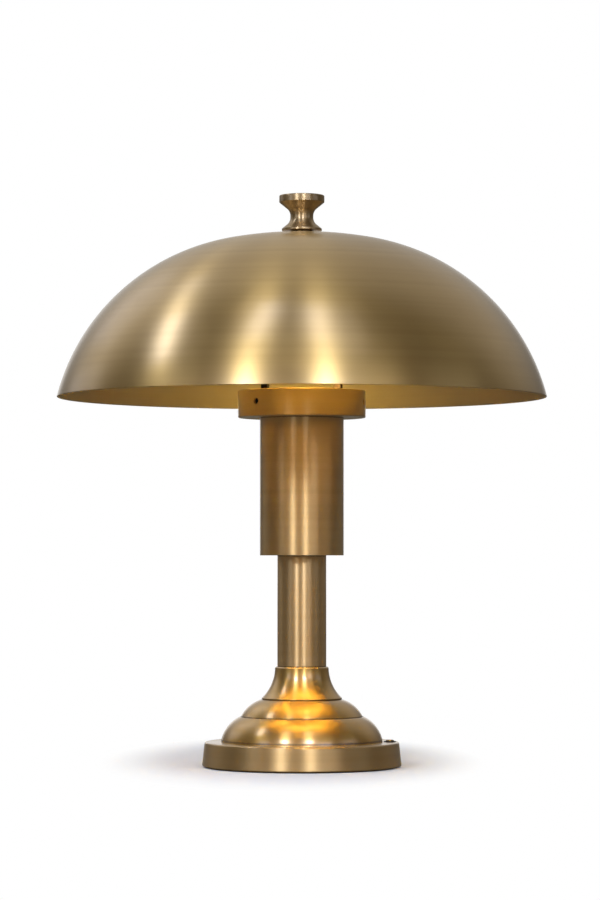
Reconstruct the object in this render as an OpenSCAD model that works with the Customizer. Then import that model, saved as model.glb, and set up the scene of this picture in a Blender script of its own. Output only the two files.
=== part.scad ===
// Dome shade desk lamp: a spun brass dome on a strap bracket, above a stem with a wide sleeve that hides
// the bulb, on a round plate with two rounded steps and a cove. Millimetres, +Z up, and the origin is on
// the table under the stem.

/* [Shade] */
// Outer radius of the shade at its rim
shade_r = 200; // [190:1:210]
// Height of the shade from its rim to its crown
shade_h = 134.5; // [130:0.5:140]
// Radius of the flat arc over the crown
crown_arc_r = 336; // [325:1:350]
// Radius of the tighter arc down the side
side_arc_r = 175; // [168:1:182]
// Thickness of the shade's sheet
shade_t = 1.2; // [0.8:0.1:2]
// Height of the collar ring's top above the shade's rim
rim_drop = 5.5; // [2:0.1:12]

/* [Finial] */
// Radius of the knob's top disc
knob_r = 18.5; // [17:0.5:20]
// Height of the knob, without its spacer
knob_h = 29; // [27.5:0.5:34]
// Thickness of the top disc at its edge
knob_disc_h = 6; // [4:0.5:7]
// Radius of the knob's waist
knob_waist_r = 9.4; // [8.5:0.1:11]
// Length of the straight stretch of the waist
knob_waist_h = 1.3; // [0.8:0.1:2]
// Radius of the knob's foot
knob_foot_r = 16.4; // [15:0.1:18]
// Thickness of the foot at its edge
knob_foot_h = 1.7; // [1.2:0.1:2.5]
// Radius of the spacer between the knob and the shade
spacer_r = 9; // [8:0.5:12]
// Thickness of that spacer
spacer_t = 1.8; // [1:0.1:3]

/* [Base] */
// Radius of the base plate at the table
plate_r = 81.5; // [81.2:0.1:84]
// Radius of the base plate at its top edge
plate_top_r = 79.6; // [79.2:0.1:80.8]
// Radius of the rounded top edge of the plate
plate_edge_r = 1.2; // [0.6:0.1:1.5]
// Bevel of the plate's lower edge
plate_bevel = 0.8; // [0.4:0.1:1.2]
// Gap between the plate's lower edge and the table
plate_gap = 1; // [0.6:0.1:1.3]
// Thickness of the plate's web
web_t = 5.5; // [5:0.1:8]
// Radius of the hollow under the plate
hollow_r = 77; // [77:0.1:77.4]
// Radius of the hole in the middle of the plate
plate_hole_r = 30; // [26:1:31]
// Thickness of the felt pad
felt_t = 1.5; // [1.4:0.1:2.5]
// Thickness of the steel bottom cover
cover_t = 1.5; // [1.5:0.1:2.5]
// Height of the ballast ring
ballast_h = 12; // [11.5:0.5:16]
// Outer radius of the ballast ring
ballast_r = 62; // [58:1:63]
// Inner radius of the ballast ring
ballast_bore_r = 32; // [30:1:34]

/* [Steps] */
// Radius of the rounded face of both steps
step_arc_r = 27.5; // [27:0.1:28.5]
// Wall of the steps and of the cove
step_wall = 3.5; // [3:0.1:4]
// Thickness of the web in each step
step_web_t = 4; // [3.5:0.1:5]
// Radius of the lower step where it stands on the plate
lower_step_r = 66.2; // [65.5:0.1:66.5]
// Height of the lower step
lower_step_h = 20.7; // [20:0.1:21.2]
// How far the lower step's arc centre lies below its foot
lower_step_drop = 4.2; // [3.8:0.1:4.4]
// Radius of the middle step at its foot
middle_step_r = 49.9; // [49:0.1:50.4]
// Height of the middle step
middle_step_h = 14.3; // [13.8:0.1:14.5]
// How far the middle step's arc centre lies below its foot
middle_step_drop = 12.3; // [12:0.1:12.6]
// Height of the cove above the middle step
cove_h = 26.5; // [25:0.5:28]
// Radius of the cove's hollow face
cove_arc_r = 35.3; // [34:0.1:38]
// Radius of the cove at its top
cove_top_r = 21.9; // [21.6:0.1:22.2]
// Height of the straight lip round the cove's foot
cove_lip_h = 1; // [0.6:0.1:1.4]
// Bevel of the cove's top edge
cove_bevel = 0.8; // [0.3:0.1:1.2]
// Height of the ring that centres each step on the one below
register_h = 1.5; // [1:0.1:2]

/* [Stem] */
// Radius of the stem tube
stem_r = 20; // [19:0.1:20.6]
// Wall of the stem tube
stem_wall = 1.5; // [1:0.1:2.5]
// Length of stem that shows between the cove and the sleeve
stem_show_h = 91; // [70:1:120]
// Depth of the stem in the cove's socket
stem_seat_h = 6; // [5:0.5:7]
// Radius of the threaded pipe that ties the stack together
pipe_r = 5; // [4.8:0.1:5.2]
// Bore radius of the threaded pipe
pipe_bore_r = 3.5; // [3.2:0.1:3.8]

/* [Sleeve and collar] */
// Radius of the sleeve
sleeve_r = 34.3; // [34.2:0.1:36]
// Wall of the sleeve
sleeve_wall = 1.5; // [1:0.1:1.6]
// Length of the sleeve
sleeve_len = 132; // [130:1:150]
// Thickness of the disc that closes the sleeve's foot
floor_t = 8; // [6:0.5:10]
// Depth of the stem's seat in that disc
floor_seat_h = 3; // [2:0.5:4]
// Outer radius of the collar ring
collar_r = 52.25; // [50:0.25:56]
// Height of the collar ring
collar_h = 21.9; // [18:0.1:26]
// Height of the collar ring's top above the bracket's foot ring
collar_lip_h = 0.5; // [0.2:0.1:1.5]
// Bevel of the collar ring's outer edges
collar_bevel = 0.6; // [0.3:0.1:1.2]
// Radius of the collar's M5 set screws
set_screw_r = 2.5; // [2:0.1:3]
// Depth of the set screws below the collar's face
set_screw_sink = 1.6; // [0.8:0.1:3]
// Height of the set screws above the middle of the collar
set_screw_rise = 1; // [-2:0.1:3]

/* [Shade bracket] */
// Thickness of the bracket's strap
strap_t = 2; // [1.5:0.1:2.4]
// Width of the bracket's strap
strap_w = 12; // [10:0.5:13]
// Distance of the strap's legs from the stem's axis, to their outer faces
strap_reach = 34; // [33:0.1:36]
// Inner radius of the bend at each shoulder of the strap
strap_bend_r = 12; // [6:1:16]
// Outer radius of the bracket's foot ring
foot_ring_r = 41.8; // [40.5:0.1:44]
// Bore radius of the bracket's foot ring
foot_ring_bore_r = 32; // [30:0.1:32.2]
// Turn of the bracket about the stem, in degrees
strap_turn = 25; // [0:1:40]
// Radius of the M6 stud on top of the bracket
stud_r = 3; // [2.5:0.1:3]
// Radius of the seat under the shade's crown
seat_r = 12; // [10:0.5:14]
// Thickness of the seat's flange
seat_t = 2.3; // [1.5:0.1:4]
// Radius of the seat's spigot in the shade
spigot_r = 5; // [4.5:0.1:6]
// Thickness of the fibre washer between the seat and the shade
fibre_t = 0.5; // [0.4:0.1:1]

/* [Lampholder and bulb] */
// Outer radius of the lampholder
holder_r = 19.5; // [18.5:0.1:21]
// Height of the lampholder
holder_h = 46; // [45:0.5:48]
// Height of the lampholder's centre contact above its foot
contact_h = 20; // [19:0.5:21]
// Radius of the bulb's screw cap
bulb_cap_r = 13.1; // [12.8:0.1:13.2]
// Length of the bulb, from its tip to its top
bulb_len = 98; // [96:1:98]
// Radius of the bulb's globe
bulb_r = 27.5; // [25:0.5:28.5]
// Wall of the bulb's glass
glass_t = 0.8; // [0.6:0.1:1.2]

/* [Switch and wiring] */
// Distance of the push switch from the stem's axis
switch_at = 72; // [71.6:0.1:72]
// Radius of the switch's flange on the plate
switch_flange_r = 5; // [4.6:0.1:5.2]
// Radius of the switch's threaded bush
switch_bush_r = 4; // [3.9:0.1:4.2]
// Radius of the push button
button_r = 3.2; // [2.8:0.1:3.3]
// Height of the button above the switch's flange
button_show_h = 1.1; // [1:0.1:2]
// Thickness of the switch's flange
switch_flange_t = 0.6; // [0.4:0.1:1.2]
// Radius of the cord inlet's bore
inlet_bore_r = 3.2; // [2.8:0.1:3.5]
// Radius of the two leads in the base and the stem
lead_r = 1.6; // [1.3:0.1:1.8]

/* [Hidden] */
$fn = 96;
shade_fn = 480;
shade_turn_fn = 180;

// Clearances
fit_gap = 0.05;
loose_gap = 0.2;
turn_gap = 0.05;
lift_gap = 0.1;
crown_gap = 0.15;
overcut = 1;

// Slot in the head of a countersunk screw: length, width and depth
driver_slot = [4, 0.6, 0.7];

// Finishes
shade_colour = "#a98d58";
brass_colour = "#8f6a3c";
bright_brass = "#b5935a";
steel_colour = "#8d8f92";
iron_colour = "#3c3d40";
plastic_colour = "#1c1c1e";

// Heights of the stack, from the table up
cover_z = felt_t;
ballast_z = cover_z + cover_t;
web_z = ballast_z + ballast_h;
plate_z = web_z + web_t;
lower_web_z = plate_z + lower_step_h - step_web_t;
middle_z = plate_z + lower_step_h;
cove_z = middle_z + middle_step_h;
cove_top_z = cove_z + cove_h;
stem_z = cove_top_z - stem_seat_h;
sleeve_z = cove_top_z + stem_show_h;
floor_top_z = sleeve_z + floor_t;
sleeve_top_z = sleeve_z + sleeve_len;
foot_ring_top_z = sleeve_top_z + strap_t;
collar_top_z = foot_ring_top_z + collar_lip_h;
collar_z = collar_top_z - collar_h;
set_screw_turns = [105, 225, 345];
set_screw_z = collar_z + collar_h / 2 + set_screw_rise;
rim_z = collar_top_z - rim_drop;
crown_z = rim_z + shade_h;

// Shade outline: the crown arc is centred on the axis, and the side arc touches it and ends at the rim
crown_centre_z = shade_h - crown_arc_r;
arc_step = crown_arc_r - side_arc_r;
rim_reach = norm([shade_r, crown_centre_z]);
rim_way = [shade_r, -crown_centre_z] / rim_reach;
side_along = (arc_step * arc_step - side_arc_r * side_arc_r + rim_reach * rim_reach) / (2 * rim_reach);
side_off = sqrt(arc_step * arc_step - side_along * side_along);
side_centre = [0, crown_centre_z] + side_along * rim_way + side_off * [-rim_way[1], rim_way[0]];

// Seat under the crown, bracket and finial
crown_inner_z = crown_z - shade_t;
seat_sag = seat_r * seat_r / (2 * (crown_arc_r - shade_t));
fibre_z = crown_inner_z - seat_sag - fibre_t - crown_gap;
seat_z = fibre_z - seat_t;
strap_top_z = seat_z;
spacer_z = crown_z + lift_gap;
knob_z = spacer_z + spacer_t;
strap_root = 0.5;
stud_nut_h = 5;
stud_nut_flats = 10;
stud_grip = 12;
stud_tail = 1;
stud_top_z = knob_z + stud_grip;
stud_z = strap_top_z - strap_t - stud_nut_h - stud_tail;
bracket_screw_at = (foot_ring_r + sleeve_r) / 2;
bracket_screw_turns = [90, 270];
bracket_screw_r = 1.5;
bracket_screw_len = 8;

// Pipe, its nuts and the lampholder that stands on them
nut_h = 4;
nut_flats = 14;
washer_t = 1;
washer_r = 9;
lower_washer_z = lower_web_z - washer_t;
lower_nut_z = lower_washer_z - nut_h;
pipe_tail = 1.5;
pipe_z = lower_nut_z - pipe_tail;
upper_nut_z = floor_top_z + washer_t;
holder_z = upper_nut_z + nut_h;
pipe_grip = 6;
pipe_top_z = holder_z + pipe_grip;
holder_neck_r = 9;
holder_wall = 1.5;
cap_r = holder_r - 2;
liner_bore_r = bulb_cap_r + 0.3;
liner_r = liner_bore_r + 0.5;
contact_t = 2;
core_low_h = 10;
bulb_z = holder_z + contact_h + lift_gap;
bulb_tip_h = 1.2;
bulb_foot_h = 4;
bulb_shell_h = 24;
bulb_thread_depth = 0.9;
bulb_neck_r = bulb_cap_r - bulb_thread_depth;

// Base fixings: three of each, turned so that they miss the wiring slot
step_screw_at = 50;
step_screw_r = 2;
step_screw_turns = [10, 130, 250];
step_boss_r = 5;
step_screw_grip = 9;
step_hole_spare = 1;
step_head_r = 3.5;
step_head_h = 4;
step_head_z = ballast_z + 1;
step_socket_r = 1.7;
step_socket_h = 2;
cover_screw_at = 40;
cover_screw_r = 1.5;
cover_screw_turns = [40, 160, 280];
cover_screw_len = 8;
cover_r = hollow_r - 0.5;

// Switch, inlet and wiring
switch_nut_t = 2;
switch_body_r = 4.8;
switch_body_z = ballast_z + 1.5;
switch_bush_z = web_z - switch_nut_t;
spring_z = switch_body_z + 2;
button_z = switch_bush_z - 0.5;
spring_wire_r = 0.25;
spring_r = 2.3;
spring_turns = 5;
inlet_z = ballast_z + 6;
inlet_flange_t = 1.5;
inlet_flange_r = inlet_bore_r + 2.9;
inlet_seat_y = hollow_r + 2.2;
inlet_out_y = inlet_seat_y + inlet_flange_t;
inlet_barrel_r = inlet_bore_r + 1.4;
block_turn = 70;
block_at = 69.5;
block_size = [10, 14, 8];
block_hole_r = 1.6;
block_hole_h = 3;
slot_w = 7;
slot_h = block_size[2] + 1;

// Routes of the two leads: distance from the axis, angle and height. The second one rises through the pipe.
lead_top_z = holder_z + core_low_h - 0.3;
switch_lead_route = [
    [69.5, 63.8, 7], [69.5, 59, 6.5], [69.5, 54, 5.5], [69.5, 48, 5], [69.5, 40, 5], [69.5, 32, 5],
    [69.5, 24, 5], [70, 18, 5.5], [71, 11, 6.5], [72, 4.1, 7],
];
lamp_lead_route = [
    [64.2, 70, 7], [56, 70, 7], [46, 70, 7], [34, 70, 7], [22, 70, 7.5], [11, 70, 10.5], [3, 70, 17],
    [0.2, 70, 26], for (rise = [0:0.25:1]) [0, 70, pipe_z + 5 + rise * (lead_top_z - pipe_z - 5)],
];
lead_sides = 8;

// ---------------------------------------------------------------- helpers

function polar(p) = [p[0] * cos(p[1]), p[0] * sin(p[1]), p[2]];
function unit(v) = v / norm(v);

// One closed tube along the points, built of rings. No stretch of it runs along the direction called side.
module tube_along(points, radius, sides, side) {
    last = len(points) - 1;
    rings = [for (i = [0:last])
        let (way = unit(points[min(i + 1, last)] - points[max(i - 1, 0)]),
             across = unit(cross(way, side)),
             up = cross(across, way))
        for (k = [0:sides - 1])
            points[i] + radius * (cos(360 * k / sides) * across + sin(360 * k / sides) * up)];
    walls = [for (i = [0:last - 1], k = [0:sides - 1])
        let (a = i * sides + k, b = i * sides + (k + 1) % sides)
        each [[a, a + sides, b], [b, a + sides, b + sides]]];
    near_end = [for (k = [0:sides - 1]) k];
    far_end = [for (k = [sides - 1:-1:0]) last * sides + k];
    polyhedron(points = rings, faces = concat(walls, [near_end, far_end]), convexity = 6);
}

// A ring of height h, from bore to radius
module ring(radius, bore, h) {
    difference() {
        cylinder(r = radius, h = h);
        translate([0, 0, -overcut]) cylinder(r = bore, h = h + 2 * overcut);
    }
}

// A hexagon nut on the Z axis
module hex_nut(flats, bore, h) {
    difference() {
        cylinder(r = flats / sqrt(3), h = h, $fn = 6);
        translate([0, 0, -overcut]) cylinder(r = bore, h = h + 2 * overcut);
    }
}

// The cut that a driver's slot makes in a head whose face is at z = 0, from below
module driver_cut() {
    translate([-driver_slot[0] / 2, -driver_slot[1] / 2, -overcut])
        cube([driver_slot[0], driver_slot[1], overcut + driver_slot[2]]);
}

// Its children, once at each angle, at a distance from the axis
module around(turns, distance) {
    for (turn = turns) rotate(turn) translate([distance, 0, 0]) children();
}

// Radius at which a step's arc is centred, and radius of its hollow at a height above its foot
function arc_centre_r(foot_r, drop) = foot_r - sqrt(step_arc_r * step_arc_r - drop * drop);
function step_hollow_r(foot_r, drop, h) =
    arc_centre_r(foot_r, drop) + sqrt(pow(step_arc_r - step_wall, 2) - pow(drop + h, 2));

// Half section of a step: straight inside its arc's centre and round outside it
module step_section(foot_r, drop, arc_r, low, top) {
    centre_r = arc_centre_r(foot_r, drop);
    translate([0, low]) square([centre_r, top - low]);
    intersection() {
        translate([centre_r, -drop]) circle(arc_r);
        translate([centre_r, low]) square([arc_r, top - low]);
    }
}

// A hollow step with a web on top, a ring there that centres what stands on it, and a hole for the pipe
module step(foot_r, h, drop, register_r) {
    difference() {
        union() {
            rotate_extrude() step_section(foot_r, drop, step_arc_r, 0, h);
            cylinder(r = register_r, h = h + register_h);
        }
        rotate_extrude() step_section(foot_r, drop, step_arc_r - step_wall, -overcut, h - step_web_t);
        translate([0, 0, -overcut]) cylinder(r = pipe_r + loose_gap, h = h + register_h + 2 * overcut);
    }
}

// ---------------------------------------------------------------- base

module felt_pad() {
    color("#2e2b28") cylinder(r = cover_r, h = felt_t);
}

module bottom_cover() {
    color(steel_colour) translate([0, 0, cover_z]) difference() {
        cylinder(r = cover_r, h = cover_t);
        around(cover_screw_turns, cover_screw_at) cover_screw_shape(cover_screw_r + loose_gap, loose_gap);
    }
}

// A countersunk screw with its head face at z = 0; grow widens its head
module cover_screw_shape(radius, grow) {
    cylinder(r1 = 2 * cover_screw_r + grow, r2 = cover_screw_r + grow, h = cover_screw_r);
    cylinder(r = radius, h = cover_screw_len);
}

module cover_screws() {
    color(steel_colour) translate([0, 0, cover_z]) around(cover_screw_turns, cover_screw_at) difference() {
        cover_screw_shape(cover_screw_r, 0);
        rotate(45) driver_cut();
    }
}

module ballast_ring() {
    color(iron_colour) translate([0, 0, ballast_z]) difference() {
        ring(ballast_r, ballast_bore_r, ballast_h);
        rotate(block_turn) translate([0, -slot_w / 2, -overcut])
            cube([ballast_r + overcut, slot_w, slot_h + overcut]);
        around(step_screw_turns, step_screw_at) translate([0, 0, -overcut]) {
            cylinder(r = step_screw_r + loose_gap, h = ballast_h + 2 * overcut);
            cylinder(r = step_head_r + loose_gap, h = step_head_z + step_head_h - ballast_z + overcut);
        }
        around(cover_screw_turns, cover_screw_at)
            translate([0, 0, -overcut]) cylinder(r = cover_screw_r + fit_gap, h = cover_screw_len + overcut);
    }
}

module base_plate() {
    plate_h = plate_z - plate_gap;
    register_r = step_hollow_r(lower_step_r, lower_step_drop, register_h) - loose_gap;
    color(brass_colour) difference() {
        translate([0, 0, plate_gap]) union() {
            cylinder(r1 = plate_r - plate_bevel, r2 = plate_r, h = plate_bevel);
            translate([0, 0, plate_bevel])
                cylinder(r1 = plate_r, r2 = plate_top_r, h = plate_h - plate_edge_r - plate_bevel);
            rotate_extrude() union() {
                square([plate_top_r - plate_edge_r, plate_h]);
                translate([plate_top_r - plate_edge_r, plate_h - plate_edge_r]) circle(plate_edge_r);
            }
            cylinder(r = register_r, h = plate_h + register_h);
        }
        cylinder(r = hollow_r, h = web_z);
        translate([0, 0, web_z - overcut]) cylinder(r = plate_hole_r, h = web_t + register_h + 2 * overcut);
        around(step_screw_turns, step_screw_at)
            translate([0, 0, web_z - overcut])
                cylinder(r = step_screw_r + loose_gap, h = web_t + register_h + 2 * overcut);
        translate([switch_at, 0, web_z - overcut])
            cylinder(r = switch_bush_r + fit_gap, h = web_t + 2 * overcut);
        translate([0, 0, inlet_z]) rotate([-90, 0, 0]) {
            translate([0, 0, hollow_r / 2]) cylinder(r = inlet_barrel_r, h = hollow_r);
            translate([0, 0, inlet_seat_y]) cylinder(r = inlet_flange_r + fit_gap, h = plate_r);
        }
    }
}

module step_screws() {
    color(steel_colour) translate([0, 0, step_head_z]) around(step_screw_turns, step_screw_at) difference() {
        union() {
            cylinder(r = step_head_r, h = step_head_h);
            cylinder(r = step_screw_r, h = plate_z + step_screw_grip - step_head_z);
        }
        translate([0, 0, -overcut]) cylinder(r = step_socket_r, h = step_socket_h + overcut, $fn = 6);
    }
}

module lower_step() {
    color(brass_colour) translate([0, 0, plate_z]) difference() {
        union() {
            step(lower_step_r, lower_step_h, lower_step_drop,
                step_hollow_r(middle_step_r, middle_step_drop, register_h) - loose_gap);
            around(step_screw_turns, step_screw_at) translate([0, 0, register_h + loose_gap])
                cylinder(r = step_boss_r, h = lower_step_h - step_web_t - register_h);
        }
        around(step_screw_turns, step_screw_at)
            translate([0, 0, -overcut])
                cylinder(r = step_screw_r + fit_gap, h = step_screw_grip + step_hole_spare + overcut);
    }
}

module middle_step() {
    color(brass_colour) translate([0, 0, middle_z])
        step(middle_step_r, middle_step_h, middle_step_drop, cove_hollow_r(register_h) - loose_gap);
}

// Radius of the cove's face and of its hollow at a height above its foot
function cove_face_r(h) = cove_top_r + cove_arc_r - sqrt(pow(cove_arc_r, 2) - pow(cove_h - h, 2));
function cove_hollow_r(h) =
    cove_top_r + cove_arc_r - sqrt(pow(cove_arc_r + step_wall, 2) - pow(cove_h - h, 2));

// Half section of the cove: all that lies inside an arc of this radius, up to a height
module cove_section(arc_r, low, top) {
    difference() {
        translate([0, low]) square([cove_face_r(cove_lip_h), top - low]);
        translate([cove_top_r + cove_arc_r, cove_h]) circle(arc_r);
    }
}

module cove_collar() {
    web_top = cove_h - stem_seat_h;
    color(brass_colour) translate([0, 0, cove_z]) difference() {
        rotate_extrude() difference() {
            cove_section(cove_arc_r, 0, cove_h);
            polygon([
                [cove_top_r - cove_bevel, cove_h],
                [cove_top_r + 2 * cove_bevel, cove_h - 3 * cove_bevel],
                [cove_top_r + 2 * cove_bevel, cove_h + overcut],
                [cove_top_r - cove_bevel, cove_h + overcut],
            ]);
        }
        rotate_extrude() cove_section(cove_arc_r + step_wall, -overcut, web_top - step_web_t);
        translate([0, 0, web_top]) cylinder(r = stem_r + fit_gap, h = stem_seat_h + overcut);
        cylinder(r = pipe_r + loose_gap, h = cove_h);
    }
}

// ---------------------------------------------------------------- stem and sleeve

module stem_tube() {
    color(brass_colour) translate([0, 0, stem_z])
        ring(stem_r, stem_r - stem_wall, sleeve_z + floor_seat_h - stem_z);
}

module tie_pipe() {
    color(steel_colour) translate([0, 0, pipe_z]) ring(pipe_r, pipe_bore_r, pipe_top_z - pipe_z);
}

module lower_pipe_nut() {
    color(steel_colour) translate([0, 0, lower_nut_z]) hex_nut(nut_flats, pipe_r + fit_gap, nut_h);
}

module lower_pipe_washer() {
    color(steel_colour) translate([0, 0, lower_washer_z]) ring(washer_r, pipe_r + loose_gap, washer_t);
}

module upper_pipe_nut() {
    color(steel_colour) translate([0, 0, upper_nut_z]) hex_nut(nut_flats, pipe_r + fit_gap, nut_h);
}

module upper_pipe_washer() {
    color(steel_colour) translate([0, 0, floor_top_z]) ring(washer_r, pipe_r + loose_gap, washer_t);
}

module sleeve_floor() {
    color(brass_colour) translate([0, 0, sleeve_z]) difference() {
        ring(sleeve_r - sleeve_wall - fit_gap, pipe_r + loose_gap, floor_t);
        translate([0, 0, -overcut]) cylinder(r = stem_r + fit_gap, h = floor_seat_h + overcut);
    }
}

module sleeve_tube() {
    color(brass_colour) translate([0, 0, sleeve_z]) ring(sleeve_r, sleeve_r - sleeve_wall, sleeve_len);
}

module collar_ring() {
    bore_r = sleeve_r + fit_gap;
    color(brass_colour) difference() {
        translate([0, 0, collar_z]) rotate_extrude() polygon([
            [bore_r, 0],
            [collar_r - collar_bevel, 0],
            [collar_r, collar_bevel],
            [collar_r, collar_h - collar_bevel],
            [collar_r - collar_bevel, collar_h],
            [bore_r, collar_h],
        ]);
        translate([0, 0, sleeve_top_z]) cylinder(r = foot_ring_r + fit_gap, h = strap_t + overcut);
        around(set_screw_turns, 0) translate([0, 0, set_screw_z]) rotate([0, 90, 0])
            cylinder(r = set_screw_r + fit_gap, h = collar_r + overcut);
        rotate(strap_turn) around(bracket_screw_turns, bracket_screw_at)
            translate([0, 0, sleeve_top_z - bracket_screw_len])
                cylinder(r = bracket_screw_r + fit_gap, h = bracket_screw_len + overcut);
    }
}

module collar_set_screws() {
    screw_len = collar_r - set_screw_sink - sleeve_r - 2 * fit_gap;
    socket_r = 0.58 * set_screw_r;
    socket_h = 3;
    color(iron_colour) around(set_screw_turns, sleeve_r + 2 * fit_gap)
        translate([0, 0, set_screw_z]) rotate([0, 90, 0]) difference() {
            cylinder(r = set_screw_r, h = screw_len);
            translate([0, 0, screw_len - socket_h]) cylinder(r = socket_r, h = socket_h + overcut, $fn = 6);
        }
}

// ---------------------------------------------------------------- shade bracket

// Right half of an arch: half_w wide and h high, with one rounded shoulder
module half_arch(half_w, h, shoulder_r) {
    square([half_w, h - shoulder_r]);
    square([half_w - shoulder_r, h]);
    translate([half_w - shoulder_r, h - shoulder_r]) circle(shoulder_r);
}

module shade_bracket() {
    h = strap_top_z - foot_ring_top_z + strap_root;
    color(steel_colour) rotate(strap_turn) difference() {
        union() {
            translate([0, 0, sleeve_top_z]) ring(foot_ring_r, foot_ring_bore_r, strap_t);
            for (side = [0, 180]) rotate(side) translate([0, strap_w / 2, foot_ring_top_z - strap_root])
                rotate([90, 0, 0]) linear_extrude(strap_w) difference() {
                    half_arch(strap_reach, h, strap_bend_r + strap_t);
                    translate([-overcut, -overcut])
                        half_arch(strap_reach - strap_t + overcut, h - strap_t + overcut, strap_bend_r);
                }
        }
        translate([0, 0, strap_top_z - strap_t - overcut])
            cylinder(r = stud_r + fit_gap, h = strap_t + 2 * overcut);
        around(bracket_screw_turns, bracket_screw_at) translate([0, 0, foot_ring_top_z]) mirror([0, 0, 1])
            bracket_screw_shape(bracket_screw_r + loose_gap, loose_gap);
    }
}

// A countersunk screw with its head face at z = 0, pointing up
module bracket_screw_shape(radius, grow) {
    cylinder(r1 = 2 * bracket_screw_r + grow, r2 = bracket_screw_r + grow, h = bracket_screw_r);
    cylinder(r = radius, h = bracket_screw_len);
}

module bracket_screws() {
    color(steel_colour) rotate(strap_turn) around(bracket_screw_turns, bracket_screw_at)
        translate([0, 0, foot_ring_top_z]) mirror([0, 0, 1]) difference() {
            bracket_screw_shape(bracket_screw_r, 0);
            driver_cut();
        }
}

module bracket_stud() {
    color(steel_colour) translate([0, 0, stud_z]) cylinder(r = stud_r, h = stud_top_z - stud_z);
}

module stud_nut() {
    color(steel_colour) rotate(strap_turn) translate([0, 0, strap_top_z - strap_t - stud_nut_h])
        hex_nut(stud_nut_flats, stud_r + fit_gap, stud_nut_h);
}

module shade_seat() {
    color(steel_colour) translate([0, 0, seat_z]) difference() {
        union() {
            cylinder(r = seat_r, h = seat_t);
            cylinder(r = spigot_r, h = crown_z - seat_z - loose_gap);
        }
        translate([0, 0, -overcut]) cylinder(r = stud_r + fit_gap, h = crown_z - seat_z + 2 * overcut);
    }
}

module fibre_washer() {
    color("#7a3b26") translate([0, 0, fibre_z]) ring(seat_r, spigot_r + loose_gap, fibre_t);
}

// ---------------------------------------------------------------- shade and finial

// Half section of all that lies inside the shade's face, brought in by inset and cut off at a height
module dome_section(inset, low) {
    junction = unit(side_centre - [0, crown_centre_z]) * 2 * crown_arc_r + [0, crown_centre_z];
    crown_top = [0, crown_centre_z + 2 * crown_arc_r];
    intersection() {
        translate([0, low]) square([shade_r + overcut, shade_h - low + overcut]);
        union() {
            intersection() {
                translate([0, crown_centre_z]) circle(crown_arc_r - inset, $fn = shade_fn);
                polygon([[0, crown_centre_z], junction, crown_top]);
            }
            translate(side_centre) circle(side_arc_r - inset, $fn = shade_fn);
        }
    }
}

module shade_dome() {
    color(shade_colour) translate([0, 0, rim_z]) difference() {
        rotate_extrude($fn = shade_turn_fn) dome_section(0, 0);
        rotate_extrude($fn = shade_turn_fn) dome_section(shade_t, -overcut);
        translate([0, 0, shade_h / 2]) cylinder(r = spigot_r + turn_gap, h = shade_h);
    }
}

// Knob outline: a flare rises from the foot and another falls from the disc, and two arcs that touch them
// meet the straight waist. The arcs take the height that the flares leave.
flare_slope = 51;
knob_bevel = 0.4;
knob_mid_h = knob_h - knob_disc_h - knob_foot_h;
disc_low_r = knob_r - knob_bevel;
flare_run = (knob_foot_r + disc_low_r - 2 * knob_waist_r) / tan(flare_slope);
knob_arc_r = (knob_mid_h - knob_waist_h - flare_run) / 2
    / (sin(flare_slope) - (1 - cos(flare_slope)) / tan(flare_slope));
touch_r = knob_waist_r + knob_arc_r * (1 - cos(flare_slope));
foot_touch_h = knob_foot_h + (knob_foot_r - touch_r) / tan(flare_slope);
disc_touch_h = knob_h - knob_disc_h - (disc_low_r - touch_r) / tan(flare_slope);
foot_arc_h = foot_touch_h + knob_arc_r * sin(flare_slope);
disc_arc_h = disc_touch_h - knob_arc_r * sin(flare_slope);

// Half section of what the lathe takes away between the knob's foot and its disc
module knob_hollow_section() {
    arc_at = knob_waist_r + knob_arc_r;
    polygon([
        [knob_foot_r, knob_foot_h],
        [touch_r, foot_touch_h],
        [arc_at, foot_arc_h],
        [arc_at, disc_arc_h],
        [touch_r, disc_touch_h],
        [disc_low_r, knob_h - knob_disc_h],
    ]);
    translate([arc_at, foot_arc_h]) circle(knob_arc_r);
    translate([arc_at, disc_arc_h]) circle(knob_arc_r);
    translate([knob_waist_r, foot_arc_h]) square([knob_arc_r, disc_arc_h - foot_arc_h]);
}

module finial_knob() {
    edge_run = 0.7;
    hole_spare = 1.5;
    color(brass_colour) translate([0, 0, knob_z]) difference() {
        rotate_extrude() difference() {
            polygon([
                [0, 0],
                [knob_foot_r - knob_bevel, 0],
                [knob_foot_r, knob_bevel],
                [knob_foot_r, knob_foot_h],
                [disc_low_r, knob_h - knob_disc_h],
                [knob_r, knob_h - knob_disc_h + knob_bevel],
                [knob_r, knob_h - 2 * knob_bevel],
                [knob_r - edge_run, knob_h],
                [0, knob_h],
            ]);
            knob_hollow_section();
        }
        translate([0, 0, -overcut]) cylinder(r = stud_r + turn_gap, h = stud_grip + hole_spare + overcut);
    }
}

module finial_spacer() {
    color(bright_brass) translate([0, 0, spacer_z]) ring(spacer_r, stud_r + turn_gap, spacer_t);
}

// ---------------------------------------------------------------- lampholder and bulb

module holder_cap() {
    cap_h = 16;
    neck_h = 3;
    shoulder = 2;
    floor_h = 7;
    color(plastic_colour) translate([0, 0, holder_z]) difference() {
        rotate_extrude() polygon([
            [0, 0],
            [holder_neck_r, 0],
            [holder_neck_r, neck_h],
            [cap_r - shoulder, neck_h],
            [cap_r, neck_h + shoulder],
            [cap_r, cap_h],
            [0, cap_h],
        ]);
        translate([0, 0, floor_h]) cylinder(r = cap_r - holder_wall, h = cap_h);
        translate([0, 0, -overcut]) cylinder(r = pipe_r + fit_gap, h = cap_h);
    }
}

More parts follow.
